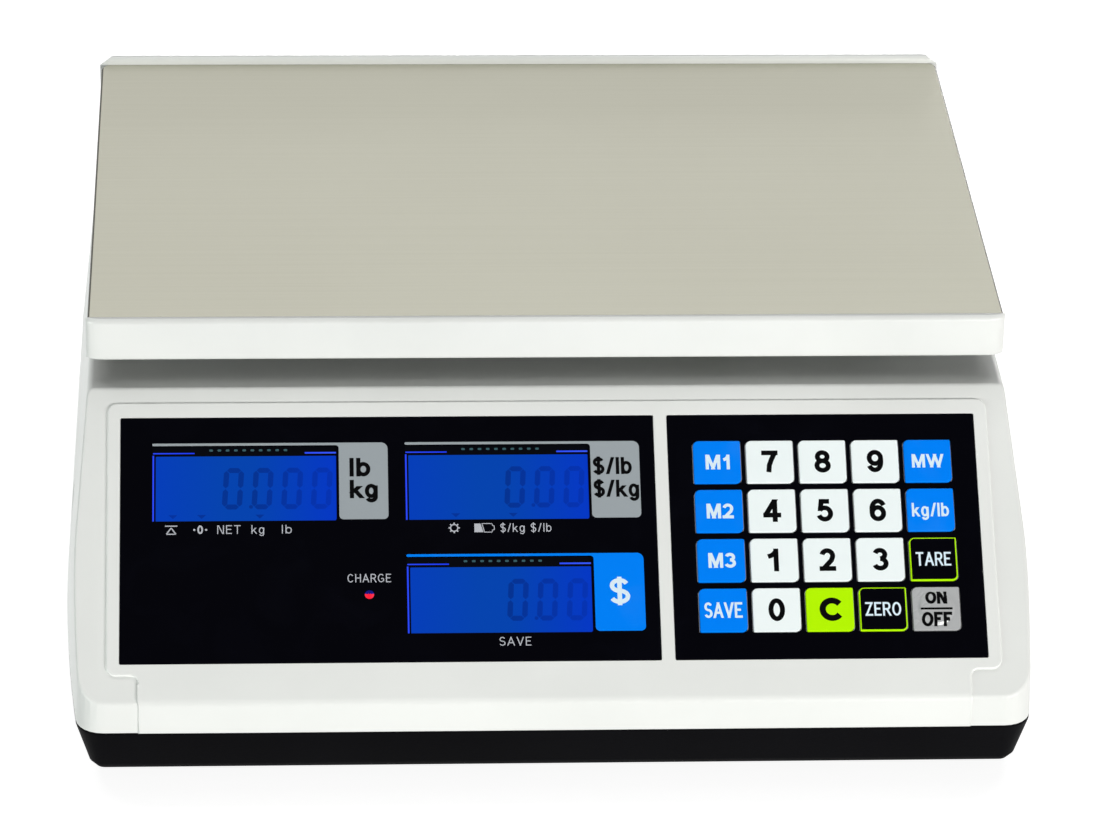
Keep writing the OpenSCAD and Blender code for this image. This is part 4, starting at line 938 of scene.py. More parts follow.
class SCALE_OT_films(Operator):
    """Printed films round the displays and the keys, with their lettering"""

    bl_idname = "price_scale.films"
    bl_label = "Printed Films"

    FILMS = (
        ("display_overlay", "display_film", DISPLAY), ("keypad_overlay", "keypad_film", KEYPAD),
        ("rear_overlay", "rear_film", REAR),
    )
    INKS = ["tab grey", "tab blue", "ink white", "ink black", "ink bright"]
    GREY, BLUE, WHITE, BLACK, BRIGHT = range(5)
    LINE = 0.95 * MM
    TAB_GAP = 1.0 * MM
    TAB_FOOT = 0.3 * MM
    TAB_HEAD = 0.98 * MM
    ROW_DROP = 5.0 * MM
    FINE = 0.34
    # Display, width in mm and ink of a tab, then its lettering:
    # text, middle, foot, width, height and stroke in mm, and ink
    TABS = (
        ("lcd_weight", 17.5, GREY, (
            ("lb", 7.6, 16.5, 7.6, 7.2, 1.5, BLACK), ("kg", 8.9, 8.1, 10.2, 7.1, 1.5, BLACK),
        )),
        ("lcd_unit_price", 17.6, GREY, (
            ("$/lb", 7.8, 16.8, 14.2, 6.6, 1.2, BLACK), ("$/kg", 9.0, 8.0, 16.6, 6.6, 1.2, BLACK),
        )),
        ("lcd_total_price", 17.8, BLUE, (("$", 8.9, 10.2, 7.4, 9.8, 1.6, BRIGHT),)),
    )
    # Small lettering under the displays, in the same order
    NOTES = {
        "lcd_weight": (
            ("0", 17.1, 0, 2.0, 3.3, 0.6), ("NET", 27.3, 0, 8.3, 3.3, FINE), ("kg", 37.6, 0, 4.6, 3.3, FINE),
            ("lb", 47.9, 0, 3.6, 3.3, FINE),
        ),
        "lcd_unit_price": (("$/kg", 38.0, 0, 8.8, 3.3, FINE), ("$/lb", 48.2, 0, 7.5, 3.3, FINE)),
        "lcd_total_price": (("SAVE", 38.0, 0, 11.3, 3.3, FINE),),
    }
    CHARGE_NOTE = ("CHARGE", 0, 4.6, 15.4, 3.2, FINE)
    REAR_NOTES = (
        ("kg / lb", -67.0, 5, 14.0, 3.4, FINE), ("$/kg  $/lb", 0.0, 5, 20.0, 3.4, FINE),
        ("$", 67.0, 5, 2.4, 3.4, FINE),
    )
    ZERO_DOTS = (15.0, 19.2)
    BATTERY_FULL = ((0, 0), (3.2, 0), (2.2, 3.3), (0, 3.3))
    BATTERY_REST = ((3.6, 0), (6.2, 0), (6.6, 0.9), (7.1, 0.9), (7.1, 2.4), (6.6, 2.4), (6.2, 3.3), (2.7, 3.3))

    def execute(self, context):
        edge_width = sizes().film_edge
        for node, name, place in self.FILMS:
            inverse = place.inverted()

            def width_of(edge):
                return edge_width if all(abs((inverse @ v.co).z) < FLUSH for v in edge.verts) else 0

            bm = rounded_copy(node, width_of, 2)
            make_piece(name, bm, ["film black"], "base", "overlay_black", replaced=[node])
        self.print_display()
        self.print_rear()
        return {"FINISHED"}

    def letters(self, bm, origin, text, x, y, width, cap, stroke, skin, level=0):
        """Lettering from an origin on the film at level 0, or on a printed tab at level 1."""
        ink = sizes().ink
        add_letters(bm, text, width * MM, cap * MM, origin[0] + x * MM, origin[1] + y * MM,
                    level * ink, (level + 1) * ink, stroke * MM, skin)

    def print_display(self):
        bm = bmesh.new()
        rows = {}
        for node, width, skin, lettering in self.TABS:
            left, right, bottom, top = window(*local_box(node, DISPLAY))
            tab, foot = right + self.TAB_GAP, bottom + self.TAB_FOOT
            outline = self.tab_outline(left, tab, tab + width * MM, foot, top + self.TAB_HEAD)
            add_prism(bm, outline, 0, sizes().ink, skin)
            for line in lettering:
                self.letters(bm, (tab, foot), *line, level=1)
            rows[node] = Vector((left, bottom - self.ROW_DROP))
            for note in self.NOTES[node]:
                self.letters(bm, rows[node], *note, self.WHITE)
        self.stable_mark(bm, rows["lcd_weight"] + Vector((6.8, 0)) * MM)
        for x in self.ZERO_DOTS:
            dot = rows["lcd_weight"] + Vector((x, 1.6)) * MM
            add_prism(bm, circle(dot, 0.4 * MM, 12), 0, sizes().ink, self.WHITE)
        self.sun_mark(bm, rows["lcd_unit_price"] + Vector((17.2, 1.7)) * MM)
        self.battery_mark(bm, rows["lcd_unit_price"] + Vector((24.4, 0)) * MM)
        lamp = box_centre(*local_box("charge_led", DISPLAY))
        self.letters(bm, lamp, *self.CHARGE_NOTE, self.WHITE)
        make_piece("display_print", bm, self.INKS, "base", "overlay_black", DISPLAY)

    def tab_outline(self, left, tab, right, foot, head):
        """A tab in one piece with the line that runs from its head over the display."""
        low_left, low_right, high_right, inner = 1.6 * MM, 1.7 * MM, 2.4 * MM, 1.2 * MM
        end = self.LINE / 2
        under = head - self.LINE - inner
        return (
            bow(tab + low_left, foot + low_left, low_left, low_left, 2, 3)
            + bow(right - low_right, foot + low_right, low_right, low_right, 3, 4)
            + bow(right - high_right, head - high_right, high_right, high_right, 0, 1)
            + bow(left + end, head - end, end, end, 1, 3)
            + bow(tab - inner, under, inner, inner, 1, 0)
        )

    def stroke(self, bm, points, width):
        """White strokes from point to point."""
        for start, end in zip(points, points[1:]):
            add_bar(bm, start, end, width, 0, sizes().ink, self.WHITE)

    def stable_mark(self, bm, place):
        """Triangle under a bar: the reading is steady."""
        width = 0.4 * MM
        corners = [place + Vector(p) * MM for p in ((-1.7, 0), (1.7, 0), (0, 2.4))]
        self.stroke(bm, corners + corners[:1], width)
        self.stroke(bm, [place + Vector(p) * MM for p in ((-2.2, 3.1), (2.2, 3.1))], width)

    def sun_mark(self, bm, centre):
        """Ring with eight short rays: the backlight."""
        inner, outer, tip = 1.1 * MM, 1.5 * MM, 2.0 * MM
        add_strip(bm, circle(centre, outer), circle(centre, inner), 0, sizes().ink, self.WHITE, loop=True)
        for root, end in zip(circle(centre, outer, 8), circle(centre, tip, 8)):
            self.stroke(bm, [root, end], 0.5 * MM)

    def battery_mark(self, bm, place):
        """Half-full battery on its side."""
        full, rest = ([place + Vector(p) * MM for p in part] for part in (self.BATTERY_FULL, self.BATTERY_REST))
        add_prism(bm, full, 0, sizes().ink, self.WHITE)
        self.stroke(bm, rest + rest[:1], 0.28 * MM)

    def print_rear(self):
        """Labels under the customer displays."""
        bm = bmesh.new()
        centre = box_centre(*local_box("rear_overlay", REAR))
        for note in self.REAR_NOTES:
            self.letters(bm, (centre[0], 0), *note, 0)
        make_piece("rear_print", bm, ["ink white"], "base", "overlay_black", REAR)


class SCALE_OT_displays(Operator):
    """Backlit displays with their glass edges, pins and digits"""

    bl_idname = "price_scale.displays"
    bl_label = "Displays"

    FINISHES = ["display glass", "display light", "display rim", "display pin", "display digit"]
    GLASS, LIGHT, RIM, PIN, DIGIT = range(5)
    # Display, reading and places of the pointers along its lower edge in mm
    READINGS = (
        ("lcd_weight", "0.000", (7.4, 17.6, 38.3)), ("lcd_unit_price", "0.00", (17.9, 38.4)),
        ("lcd_total_price", "0.00", ()),
    )
    REAR_READINGS = ("0.000", "0.00", "0.00")
    GLASS_CORNER = 0.5 * MM
    GLASS_EDGE = 0.1 * MM
    LAYER = 0.03 * MM
    BAND = 3.9 * MM
    LIT_SIDE = 1.3 * MM
    LIT_CORNERS = [0.2 * MM, 0.9 * MM, 0.3 * MM, 0.3 * MM]
    PIN_SIZE = (1.3 * MM, 0.8 * MM, [0.3 * MM] * 4)
    PIN_RISE = 2.3 * MM
    PIN_PLACES = [0.32 + 0.045 * i for i in range(10)]
    DIGIT_HEIGHT, DIGIT_FOOT, DIGIT_SIDE = 0.485, 0.19, 0.045
    DIGIT_WIDTH, DIGIT_PITCH, DIGIT_HALF, DIGIT_LEAN, DIGIT_GAP = 0.375, 0.75, 0.068, 0.06, 0.15
    POINT_SHIFT, POINT_SIZE = 1.1 * MM, 0.05
    POINTER = ((-1.6, 2.5), (0, 1.0), (1.6, 2.5))
    ZERO_SEGMENTS = (
        ((0, 1), (1, 1)), ((1, 1), (1, 0.5)), ((1, 0.5), (1, 0)), ((0, 0), (1, 0)), ((0, 0.5), (0, 0)),
        ((0, 1), (0, 0.5)),
    )
    LAMP_CROWN = 0.5 * MM
    LAMP_SPLIT = 0.1

    def execute(self, context):
        for node, text, marks in self.READINGS:
            bm = bmesh.new()
            self.draw_display(bm, *local_box(node, DISPLAY), text, marks)
            make_piece(node + "_lit", bm, self.FINISHES, "base", "lcd_blue", DISPLAY, [node])
        bm = bmesh.new()
        low, high = local_box("rear_lcds", REAR)
        gap = self.rear_gap()
        width = (high.x - low.x - 2 * gap) / 3
        for i, text in enumerate(self.REAR_READINGS):
            left = low.x + i * (width + gap)
            self.draw_display(bm, Vector((left, low.y, low.z)), Vector((left + width, high.y, high.z)), text)
        make_piece("rear_lcds_lit", bm, self.FINISHES, "base", "lcd_blue", REAR, ["rear_lcds"])
        self.make_charge_lamp()
        return {"FINISHED"}

    def make_charge_lamp(self):
        """A low round lamp, lit red in its lower part, with a painted reflection glowing dark blue over its
        upper part.
        """
        low, high = local_box("charge_led", DISPLAY)
        centre = box_centre(low, high)
        radius = (high.x - low.x) / 2
        profile = [(radius, low.z)]
        for i in range(6):
            a = QUARTER * i / 6
            profile.append((radius * math.cos(a), high.z - self.LAMP_CROWN * (1 - math.sin(a))))
        bm = bmesh.new()
        add_lathe(bm, profile + [(POLE, high.z)], centre, 32)
        # Faces above the split take the painted reflection; those below take the red glow.
        for face in bm.faces:
            face.material_index = int(face.calc_center_median().y > centre[1] + self.LAMP_SPLIT * radius)
        make_piece("charge_lamp", bm, ["lamp red", "lamp blue"], "base", "led_red", DISPLAY, ["charge_led"])

    def rear_gap(self):
        """Gap between two of the three rear displays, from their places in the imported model."""
        xs = sorted({round((REAR.inverted() @ v.co).x, 5) for v in NODES["rear_lcds"].data.vertices})
        return xs[2] - xs[1]

    def draw_display(self, bm, low, high, text, marks=()):
        """One display: glass, lit area, bright edges, pins, digits and pointers."""
        add_plate(bm, low, high, [self.GLASS_CORNER] * 4, self.GLASS_EDGE, self.GLASS, 2, 2)
        left, right, bottom, top = window(low, high)
        width = right - left
        face, up = high.z, high.z + self.LAYER
        lit_left, lit_top = left + self.LIT_SIDE, top - self.BAND
        middle = ((lit_left + right) / 2, (bottom + lit_top) / 2)
        lit = rounded_outline(right - lit_left, lit_top - bottom, self.LIT_CORNERS, middle, 4)
        add_prism(bm, lit, face, up, self.LIGHT)
        side, edge = left + 0.4 * MM, lit_top + 1.2 * MM
        for start, end, thick in (
            ((side, bottom), (side, lit_top + 0.4 * MM), 0.55 * MM),
            ((left + 0.3 * MM, edge), (left + 0.23 * width, edge), 0.45 * MM),
            ((left + 0.83 * width, edge), (right, edge), 0.6 * MM),
        ):
            add_bar(bm, start, end, thick, face, up, self.RIM)
        for share in self.PIN_PLACES:
            place = (left + width * share, lit_top + self.PIN_RISE)
            add_prism(bm, rounded_outline(*self.PIN_SIZE, place, 3), face, up, self.PIN)
        tall = (top - bottom) * self.DIGIT_HEIGHT
        wide, pitch = tall * self.DIGIT_WIDTH, tall * self.DIGIT_PITCH
        foot = bottom + (top - bottom) * self.DIGIT_FOOT
        x = right - width * self.DIGIT_SIDE - wide
        over = up + self.LAYER
        for mark in reversed(text):
            if mark == ".":
                point = circle((x + pitch - self.POINT_SHIFT, foot), tall * self.POINT_SIZE, 12)
                add_prism(bm, point, up, over, self.DIGIT)
                continue
            self.draw_zero(bm, x, foot, wide, tall, up)
            x -= pitch
        for mark in marks:
            pointer = [(left + (mark + a) * MM, bottom + b * MM) for a, b in self.POINTER]
            add_prism(bm, pointer, up, over, self.DIGIT)

    def draw_zero(self, bm, x, y, wide, tall, low):
        """A nought of six pointed segments, leaning a little to the right."""
        for segment in self.ZERO_SEGMENTS:
            ends = [Vector((x + a * wide + b * tall * self.DIGIT_LEAN, y + b * tall)) for a, b in segment]
            along = (ends[1] - ends[0]).normalized() * tall * self.DIGIT_HALF
            side = Vector((-along.y, along.x))
            a, b = ends[0] + along * self.DIGIT_GAP, ends[1] - along * self.DIGIT_GAP
            outline = [a, a + along - side, b - along - side, b, b - along + side, a + along + side]
            add_prism(bm, outline, low, low + self.LAYER, self.DIGIT)


# Keys

# Text, width, height and stroke of each legend in mm; the digits share a height and a stroke
KEY_LEGENDS = {
    "key_m1": ("M1", 9.0, 5.7, 1.15), "key_m2": ("M2", 9.7, 5.7, 1.15), "key_m3": ("M3", 9.9, 5.7, 1.15),
    "key_mw": ("MW", 11.4, 5.2, 1.0), "key_unit": ("kg/lb", 13.4, 5.25, 0.8),
    "key_save": ("SAVE", 13.6, 5.9, 0.85), "key_tare": ("TARE", 12.6, 5.25, 0.7),
    "key_zero": ("ZERO", 12.8, 5.2, 0.7), "key_clear": ("C", 9.0, 8.9, 2.25),
}
DIGIT_WIDTH = {"1": 5.2, "4": 6.4}
DIGIT_LEGEND = (5.9, 8.7, 1.8)
LEGEND_SHIFT = {"key_1": -0.55, "key_clear": 0.75, "key_m1": 0.35, "key_m2": 0.35, "key_m3": 0.35}


class SCALE_OT_keys(Operator):
    """Embossed keys with their legends"""

    bl_idname = "price_scale.keys"
    bl_label = "Keys"

    CAP, EDGING, LEGEND = range(3)
    ROUND = 2.1 * MM
    TIGHT = 0.5 * MM
    BORDER = 0.15 * MM
    BORDER_SHIFT = 0.05 * MM
    DOME = 6.7 * MM
    DOME_RISE = 0.8 * MM
    SHOULDER = 1.4 * MM
    DOME_SINK = 0.1 * MM
    DOME_INK = 0.05 * MM
    DOME_STROKE = 1.15 * MM
    # Lettering on the dome as text, width, height and foot in mm, and the line between its two words
    DOME_LEGENDS = (("ON", 7.8, 4.9, 1.5), ("OFF", 10.9, 5.2, -6.8))
    RULE_HALF, RULE_Y, RULE_WIDTH, RULE_STEPS = 5.7 * MM, -0.3 * MM, 0.75 * MM, 24
    SNAP_SHEET = 0.15 * MM
    SNAP_EDGE = 0.03 * MM
    SNAP_FOOT = 5.0 * MM
    SNAP_HEAD = 2.0 * MM
    SNAP_PRESSED = 0.2

    def execute(self, context):
        for node in KEYS:
            self.make_key(node)
        self.make_snap_domes()
        return {"FINISHED"}

    def make_snap_domes(self):
        """The sheet under the keys, with a snap dome under each key."""
        low, high = local_box("dome_sheet", KEYPAD)
        foot = low.z + self.SNAP_SHEET
        slot = SLOTS["dome_sheet"]
        bm = bmesh.new()
        add_plate(bm, low, Vector((high.x, high.y, foot)), [MM] * 4, self.SNAP_EDGE)
        make_piece("dome_sheet_made", bm, ["dome steel"], "base", slot, KEYPAD, ["dome_sheet"])
        for node in KEYS:
            x, y = box_centre(*local_box(node, KEYPAD))
            profile = []
            for i in range(9):
                share = i / 8
                radius = self.SNAP_FOOT + (self.SNAP_HEAD - self.SNAP_FOOT) * share
                profile.append((radius, foot + (high.z - foot) * math.sin(share * QUARTER)))
            bm = bmesh.new()
            add_lathe(bm, profile, (x, y))
            dome = make_piece(node + "_snap_dome", bm, ["dome steel"], "base", slot, KEYPAD, ["dome_sheet"])
            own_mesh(dome)

    def make_key(self, node):
        size = sizes()
        low, high = local_box(node, KEYPAD)
        centre = box_centre(low, high)
        wide, tall = high.x - low.x, high.y - low.y
        radii = [self.TIGHT, self.ROUND, self.TIGHT, self.ROUND]
        slot = SLOTS[node]
        finish = slot.replace("_", " ")
        bm = bmesh.new()
        top = high.z
        lift = None
        if node == "key_power":
            lift = lambda x, y: self.dome(x - centre[0], y - centre[1])
        faces = add_plate(bm, low, high, radii, size.key_edge, self.CAP)
        if slot == "key_black":
            for face in faces[2:]:
                face.material_index = self.EDGING
            outer = size.key_edge - self.BORDER_SHIFT
            lines = [rounded_outline(wide - 2 * d, tall - 2 * d, [r - d for r in radii], centre)
                     for d in (outer, outer + self.BORDER)]
            add_strip(bm, *lines, top, top + size.ink, self.EDGING, loop=True)
        if lift:
            self.add_dome(bm, centre, top)
        self.add_legend(bm, node, centre, top, lift)
        ink = "ink black" if slot in ("key_white", "key_green", "key_grey") else "ink bright"
        make_piece(node + "_cap", bm, [finish, "key green", ink], node, slot, KEYPAD, [node])

    def dome(self, x, y):
        """Height of the power key's dome over a point from its centre."""
        share = (self.DOME - math.hypot(x, y)) / self.SHOULDER
        share = min(max(share, 0), 1)
        return self.DOME_RISE * share * share * (3 - 2 * share)

    def add_dome(self, bm, centre, top):
        profile = [(self.DOME, top - self.DOME_SINK)]
        for i in range(9):
            r = self.DOME - self.SHOULDER * i / 8
            profile.append((r, top + self.dome(r, 0)))
        add_lathe(bm, profile + [(POLE, top + self.DOME_RISE)], centre, 64)

    def add_legend(self, bm, node, centre, top, lift):
        ink = sizes().ink
        x, y = centre
        if node == "key_power":
            under, over = top - self.DOME_INK, top + self.DOME_INK
            for text, *line in self.DOME_LEGENDS:
                width, cap, base = (value * MM for value in line)
                add_letters(bm, text, width, cap, x, y + base, under, over, self.DOME_STROKE, self.LEGEND, lift)
            rule = [(x + self.RULE_HALF * (2 * i / self.RULE_STEPS - 1), y + self.RULE_Y)
                    for i in range(self.RULE_STEPS + 1)]
            add_strip(bm, *stroke_sides(rule, self.RULE_WIDTH), under, over, self.LEGEND, lift)
            return
        digit = node.rsplit("_", 1)[1]
        usual, *rest = DIGIT_LEGEND
        text, width, cap, stroke = KEY_LEGENDS.get(node) or (digit, DIGIT_WIDTH.get(digit, usual), *rest)
        x += LEGEND_SHIFT.get(node, 0) * MM
        width, cap, stroke = width * MM, cap * MM, stroke * MM
        add_letters(bm, text, width, cap, x, y - cap / 2, top, top + ink, stroke, self.LEGEND)


# Platter


class SCALE_OT_platter(Operator):
    """Platter tray with its lips and the stainless sheet"""

    bl_idname = "price_scale.platter"
    bl_label = "Platter"

    SEAM = 0.12 * MM
    CORNER = 6.5 * MM
    FRONT_ROLL = 0.1 * MM
    REAR_ROLL = 1.7 * MM
    REAR_SLANT = 4.2 * MM
    FOLD_SLOPE = 0.35

    def execute(self, context):
        size = sizes()
        low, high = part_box("platter_tray")
        sheet_low, sheet_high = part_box("platter_sheet")
        front, rear = sheet_low.y - self.SEAM, sheet_high.y + self.SEAM
        bm = plain_copy("platter_tray")
        for y, side in ((front, -1), (rear, 1)):
            bmesh.ops.bisect_plane(
                bm, geom=everything(bm), dist=WELD, plane_co=(0, y, 0), plane_no=(0, side, 0), clear_outer=True
            )
            bmesh.ops.holes_fill(bm, edges=[e for e in bm.edges if e.is_boundary])
        self.add_lip(bm, low.y, 1, front - low.y, low.z, sheet_high.z, self.FRONT_ROLL, 0)
        self.add_lip(bm, high.y, -1, high.y - rear, low.z, high.z, self.REAR_ROLL, self.REAR_SLANT)
        make_piece("tray_moulding", bm, ["tray white"], "platter", "tray_white", replaced=["platter_tray"])
        bm = bmesh.new()
        corner = size.sheet_corner
        rings = []
        for inset, z in rolled_edge(sheet_high.z - 2 * size.fold_edge, sheet_high.z, size.fold_edge, 5):
            outline = rounded_outline(
                sheet_high.x - sheet_low.x - 2 * inset, rear - front, [0, 0, corner - inset, corner - inset],
                (0, (front + rear) / 2)
            )
            rings.append([(x, y, z) for x, y in outline])
        add_loft(bm, rings)
        for x, inner in ((sheet_low.x, sheet_low.x + MM), (sheet_high.x - MM, sheet_high.x)):
            flange = [(x, front + MM), (inner, front + MM), (inner, rear - corner), (x, rear - corner)]
            add_prism(bm, flange, sheet_low.z, sheet_high.z - size.fold_edge)
        bm.normal_update()
        # Faces turned sideways take the darker copy of the steel: painted shade along the folded sides.
        for face in bm.faces:
            face.material_index = int(abs(face.normal.x) > self.FOLD_SLOPE)
        finishes = ["steel sheet", "steel fold"]
        make_piece("steel_sheet", bm, finishes, "platter", "platter_steel", replaced=["platter_sheet"])
        return {"FINISHED"}

    def add_lip(self, bm, outer, inward, thick, bottom, top, inner_roll, slant):
        """A lip with turned edges and round ends, which slant in above the sheet.

        outer is its outer face and inward points to the sheet.
        """
        size = sizes()
        low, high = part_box("platter_tray")
        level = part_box("platter_sheet")[1].z
        half = (high.x - low.x) / 2
        levels = []
        for i in range(5):
            a = QUARTER * i / 4
            under = size.lip_under * (1 - math.sin(a))
            levels.append((under, bottom + size.lip_under * (1 - math.cos(a)), 0, bottom, under))
        if slant:
            levels.append((0, level, 0, level, 0))
        for i in range(7):
            a = QUARTER * i / 6
            in_share, down_share = 1 - math.cos(a), 1 - math.sin(a)
            inset, z = size.lip_edge * in_share, top - size.lip_edge * down_share
            end_inset = max(inset, slant * (z - level) / (top - level)) if slant else inset
            levels.append((inset, z, inner_roll * in_share, top - inner_roll * down_share, end_inset))
        rings = []
        for inset, z, inner_inset, inner_z, end_inset in levels:
            deep = thick - inner_inset
            end = []
            for i in range(11):
                a = QUARTER * i / 10
                x = half - self.CORNER + (self.CORNER - end_inset) * math.cos(a)
                depth = deep - (deep - inset) * math.sin(a)
                end.append((x, outer + inward * depth, inner_z if i == 0 else z))
            ring = [(-x, y, h) for x, y, h in end] + end[::-1]
            rings.append(ring if inward > 0 else ring[::-1])
        add_loft(bm, rings)


# Feet, level and what lies inside


class SCALE_OT_feet(Operator):
    """Levelling feet with gripped rims and threaded studs"""

    bl_idname = "price_scale.feet"
    bl_label = "Levelling Feet"

    # Steps of the sole from its rim inwards and up from the ground, then of one turn of thread, in mm
    SOLE = ((5.0, 0.8), (4.4, 0), (1.2, 0), (0.4, 0.4), (0, 1.2))
    THREAD = ((0, 0.3), (0.5, 0.9), (0, 1.25))
    HEIGHT = 10.2 * MM
    STUD = 4 * MM
    PITCH = 1.25 * MM
    CHAMFER = 0.8 * MM
    STUD_END = 0.4 * MM
    GRIP = 0.5 * MM
    GRIPS = 24

    def execute(self, context):
        for node in ("foot_front_left", "foot_front_right", "foot_rear_left", "foot_rear_right"):
            low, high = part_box(node)
            radius = (high.x - low.x) / 2
            shoulder = low.z + self.HEIGHT
            profile = [(POLE, low.z + self.SOLE[0][1] * MM)]
            profile += [(radius - inset * MM, low.z + rise * MM) for inset, rise in self.SOLE]
            profile += [(radius, shoulder - self.CHAMFER), (radius - self.CHAMFER, shoulder)]
            profile.append((self.STUD, shoulder))
            z = shoulder
            while z + self.PITCH < high.z - 0.5 * MM:
                profile += [(self.STUD - inset * MM, z + rise * MM) for inset, rise in self.THREAD]
                z += self.PITCH
            profile += [(self.STUD - self.STUD_END, high.z), (POLE, high.z)]

            def grip(angle, height):
                rim = low.z + MM < height < shoulder - 0.5 * MM
                return self.GRIP * (0.5 + 0.5 * math.cos(self.GRIPS * angle)) if rim else 0

            bm = bmesh.new()
            add_lathe(bm, profile, box_centre(low, high), 8 * self.GRIPS, grip)
            make_piece(node + "_turned", bm, ["soft rubber"], node, "foot_rubber", replaced=[node])
        return {"FINISHED"}


# Finish and radius of the edges in mm
INNER_PARTS = {
    "lcd_backlights": ("light guide", 0.3), "display_board": ("circuit board", 0),
    "keypad_circuit": ("circuit film", 0), "main_board": ("circuit board", 0),
    "board_components": ("component black", 0.25), "battery": ("battery case", 1.0),
    "dc_jack": ("inlet black", 0.1), "cell_pedestal": ("cast aluminium", 0.6),
    "cell_bolts": ("zinc steel", 0.3), "overload_stop": ("zinc steel", 0.4), "level_vial": ("level vial", 0.3),
    "case_screws": ("zinc steel", 0.25), "board_screws": ("zinc steel", 0.2),
    "rear_board": ("circuit board", 0), "load_cell_cable": ("lead sheath", 0), "display_ribbon": ("ribbon", 0),
    "spider": ("cast aluminium", 0.8), "spider_bolts": ("zinc steel", 0.3), "tray_pads": ("soft rubber", 0.5),
}


class SCALE_OT_inner_parts(Operator):
    """Load cell, bracket, boards, battery, screws, level and leads"""

    bl_idname = "price_scale.inner_parts"
    bl_label = "Inner Parts"

    CELL_EDGE = 0.4 * MM
    CELL_END = 3 * MM
    RING_OUTER, RING_INNER, RING_RISE = 3.4 * MM, 3.1 * MM, 0.03 * MM

    def execute(self, context):
        bodies = frame["record"]["behaviour"]["bodies"]
        owner = {node: body for body, members in bodies.items() for node in members}
        for node, (finish, edge_mm) in INNER_PARTS.items():
            bm = rounded_copy(node, lambda edge: edge_mm * MM, 2)
            make_piece(node + "_made", bm, [finish], owner[node], SLOTS[node], replaced=[node])
        fixed = X_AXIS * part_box("cell_pedestal")[1].x
        free = X_AXIS * (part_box("spider_bolts")[0].x - self.CELL_END)
        bm = rounded_copy("load_cell", lambda edge: self.CELL_EDGE, 2, [(fixed, X_AXIS), (free, X_AXIS)])
        slot = SLOTS["load_cell"]
        cell = make_piece("load_cell_made", bm, ["cast aluminium"], None, slot, replaced=["load_cell"])
        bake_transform(cell, "base", "weigh_frame", start=fixed, end=free)
        low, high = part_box("level_vial")
        sides = [circle(box_centre(low, high), radius, 48) for radius in (self.RING_OUTER, self.RING_INNER)]
        bm = bmesh.new()
        add_strip(bm, *sides, high.z, high.z + self.RING_RISE, loop=True)
        make_piece("level_ring", bm, ["ink black"], "base", "vial_glass")
        return {"FINISHED"}


# Stage


def background_rays(tree):
    """1 for rays that show the background itself: from the camera, or off metal and through glass."""
    path = add_node(tree, "ShaderNodeLightPath").outputs
    seen = path["Is Camera Ray"]
    for ray in ("Is Glossy Ray", "Is Transmission Ray"):
        seen = add_math(tree, "MAXIMUM", seen, path[ray])
    return seen


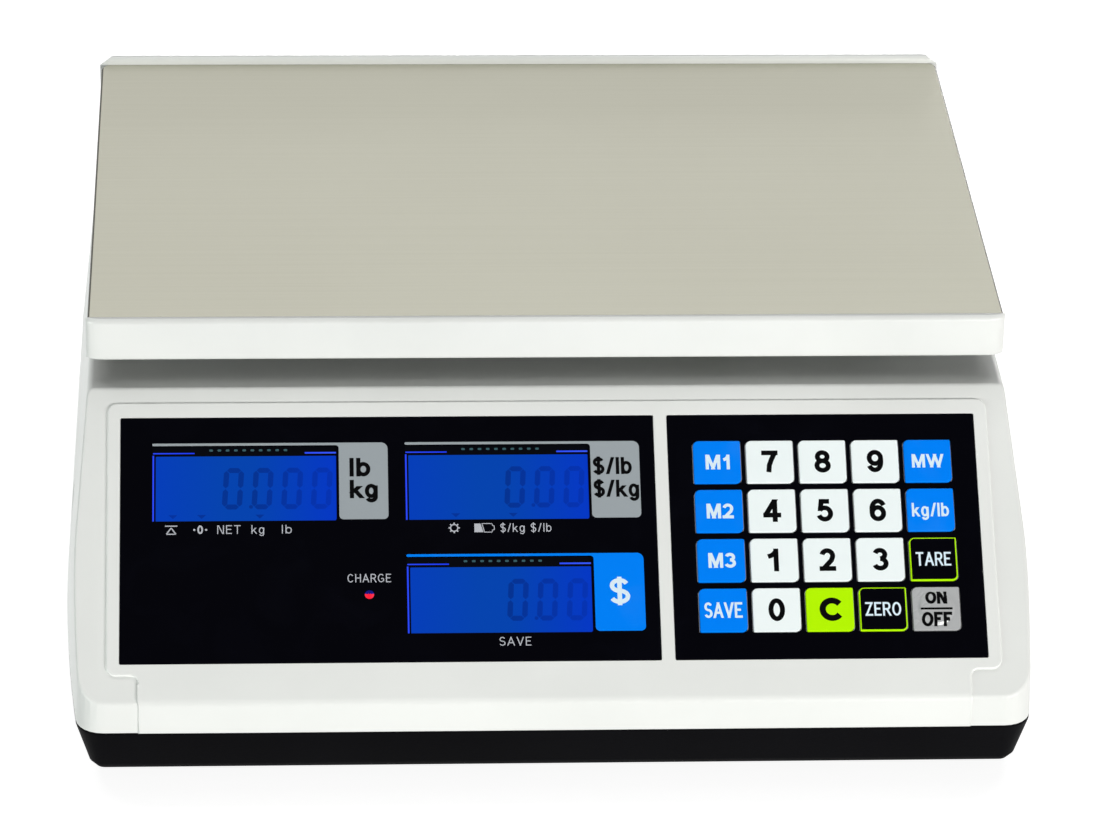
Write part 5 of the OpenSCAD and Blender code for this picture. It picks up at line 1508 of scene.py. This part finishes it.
class SCALE_OT_stage(Operator):
    """Pale floor, soft lamps, white world and the camera"""

    bl_idname = "price_scale.stage"
    bl_label = "Stage"

    FLOOR_GLOW = 0.88
    FLOOR_GREY = (0.55, 0.55, 0.55, 1)
    FLOOR_DROP = 0.1 * MM
    FLOOR_HALF = 6

    def execute(self, context):
        scene = context.scene
        settings = scene.scale_stage
        scene.view_settings.view_transform = "Standard"
        self.make_floor()
        self.make_world(settings)
        aim = Vector((0, 0, 0.11))
        low, wide = (1.6, 0.22), (3.2, 0.7)
        for name, place, size, power, tint in (
            ("key_lamp", (1.3, -2.1, 0.17), low, settings.key_power, (1.0, 0.985, 0.97)),
            ("fill_lamp", (-2.2, -1.3, 0.17), low, settings.fill_power, (0.94, 1.0, 0.97)),
            ("back_lamp", (0.5, 2.4, 0.17), low, settings.back_power, (1.0, 1.0, 1.0)),
            ("top_lamp", (0, 0.9, 2.2), wide, settings.top_power, (1.0, 1.0, 1.0)),
        ):
            self.make_lamp(name, Vector(place), aim, size, power, tint)
        self.make_camera(scene, settings)
        return {"FINISHED"}

    def make_floor(self):
        bm = bmesh.new()
        bmesh.ops.create_grid(bm, x_segments=1, y_segments=1, size=self.FLOOR_HALF)
        mesh = bpy.data.meshes.new("floor")
        bm.to_mesh(mesh)
        bm.free()
        floor = bpy.data.objects.new("floor", mesh)
        floor.location.z = CAD_BOX[0].z - self.FLOOR_DROP
        bpy.context.scene.collection.objects.link(floor)
        material, tree, shader = new_material(
            "studio floor", Base_Color=self.FLOOR_GREY, Roughness=0.9, Specular_IOR_Level=0.0,
            Emission_Color=WHITE
        )
        glow = add_math(tree, "MULTIPLY", background_rays(tree), self.FLOOR_GLOW)
        tree.links.new(glow, shader.inputs["Emission Strength"])
        mesh.materials.append(material)

    def make_world(self, settings):
        world = bpy.data.worlds.new("studio")
        bpy.context.scene.world = world
        world.use_nodes = True
        tree = world.node_tree
        tree.nodes.clear()
        light, white = (
            add_node(tree, "ShaderNodeBackground", {"Color": WHITE, "Strength": strength}).outputs[0]
            for strength in (settings.world_level, 1.0)
        )
        shown = add_node(tree, "ShaderNodeMixShader", {0: background_rays(tree), 1: light, 2: white}).outputs[0]
        add_node(tree, "ShaderNodeOutputWorld", {"Surface": shown})

    def make_lamp(self, name, place, aim, size, power, tint):
        lamp = bpy.data.lights.new(name, "AREA")
        lamp.shape = "RECTANGLE"
        lamp.size, lamp.size_y = size
        lamp.energy = power
        lamp.color = tint
        holder = bpy.data.objects.new(name, lamp)
        holder.location = place
        holder.rotation_euler = (aim - place).to_track_quat("-Z", "Y").to_euler()
        bpy.context.scene.collection.objects.link(holder)

    def make_camera(self, scene, settings):
        data = bpy.data.cameras.new("photo_camera")
        data.lens = settings.camera_lens
        data.sensor_width = 36
        data.sensor_fit = "HORIZONTAL"
        data.clip_start, data.clip_end = 0.05, 20
        yaw, rise, roll = settings.camera_yaw, settings.camera_rise, settings.camera_roll
        back = Vector((math.sin(yaw) * math.cos(rise), -math.cos(yaw) * math.cos(rise), math.sin(rise)))
        right = Vector((math.cos(yaw), math.sin(yaw), 0))
        up = back.cross(right)
        level = Matrix((right, up, back)).transposed().to_4x4()
        camera = bpy.data.objects.new("photo_camera", data)
        scene.collection.objects.link(camera)
        camera.matrix_world = Matrix.Translation(settings.camera_place) @ level @ Matrix.Rotation(roll, 4, "Z")
        scene.camera = camera


# Add-on


class SCALE_PT_pieces(Panel):
    """Lists the pieces of the price scale"""

    bl_label = "Price Scale"
    bl_idname = "SCALE_PT_pieces"
    bl_space_type = "VIEW_3D"
    bl_region_type = "UI"
    bl_category = "Price Scale"

    def draw(self, context):
        for operator in OPERATORS:
            self.layout.operator(operator.bl_idname)


OPERATORS = (
    SCALE_OT_stage, SCALE_OT_housing, SCALE_OT_base, SCALE_OT_front_panel, SCALE_OT_films, SCALE_OT_displays,
    SCALE_OT_keys, SCALE_OT_platter, SCALE_OT_feet, SCALE_OT_inner_parts,
)
CLASSES = (ScaleSizes, ScaleColours, StageSettings, *OPERATORS, SCALE_PT_pieces)


def register():
    for cls in CLASSES:
        bpy.utils.register_class(cls)
    bpy.types.Scene.scale_sizes = PointerProperty(type=ScaleSizes)
    bpy.types.Scene.scale_colours = PointerProperty(type=ScaleColours)
    bpy.types.Scene.scale_stage = PointerProperty(type=StageSettings)


def unregister():
    for name in ("scale_sizes", "scale_colours", "scale_stage"):
        delattr(bpy.types.Scene, name)
    for cls in reversed(CLASSES):
        bpy.utils.unregister_class(cls)


def main():
    register()
    for operator in OPERATORS:
        getattr(bpy.ops.price_scale, operator.bl_idname.split(".")[1])()


if __name__ == "__main__":
    main()
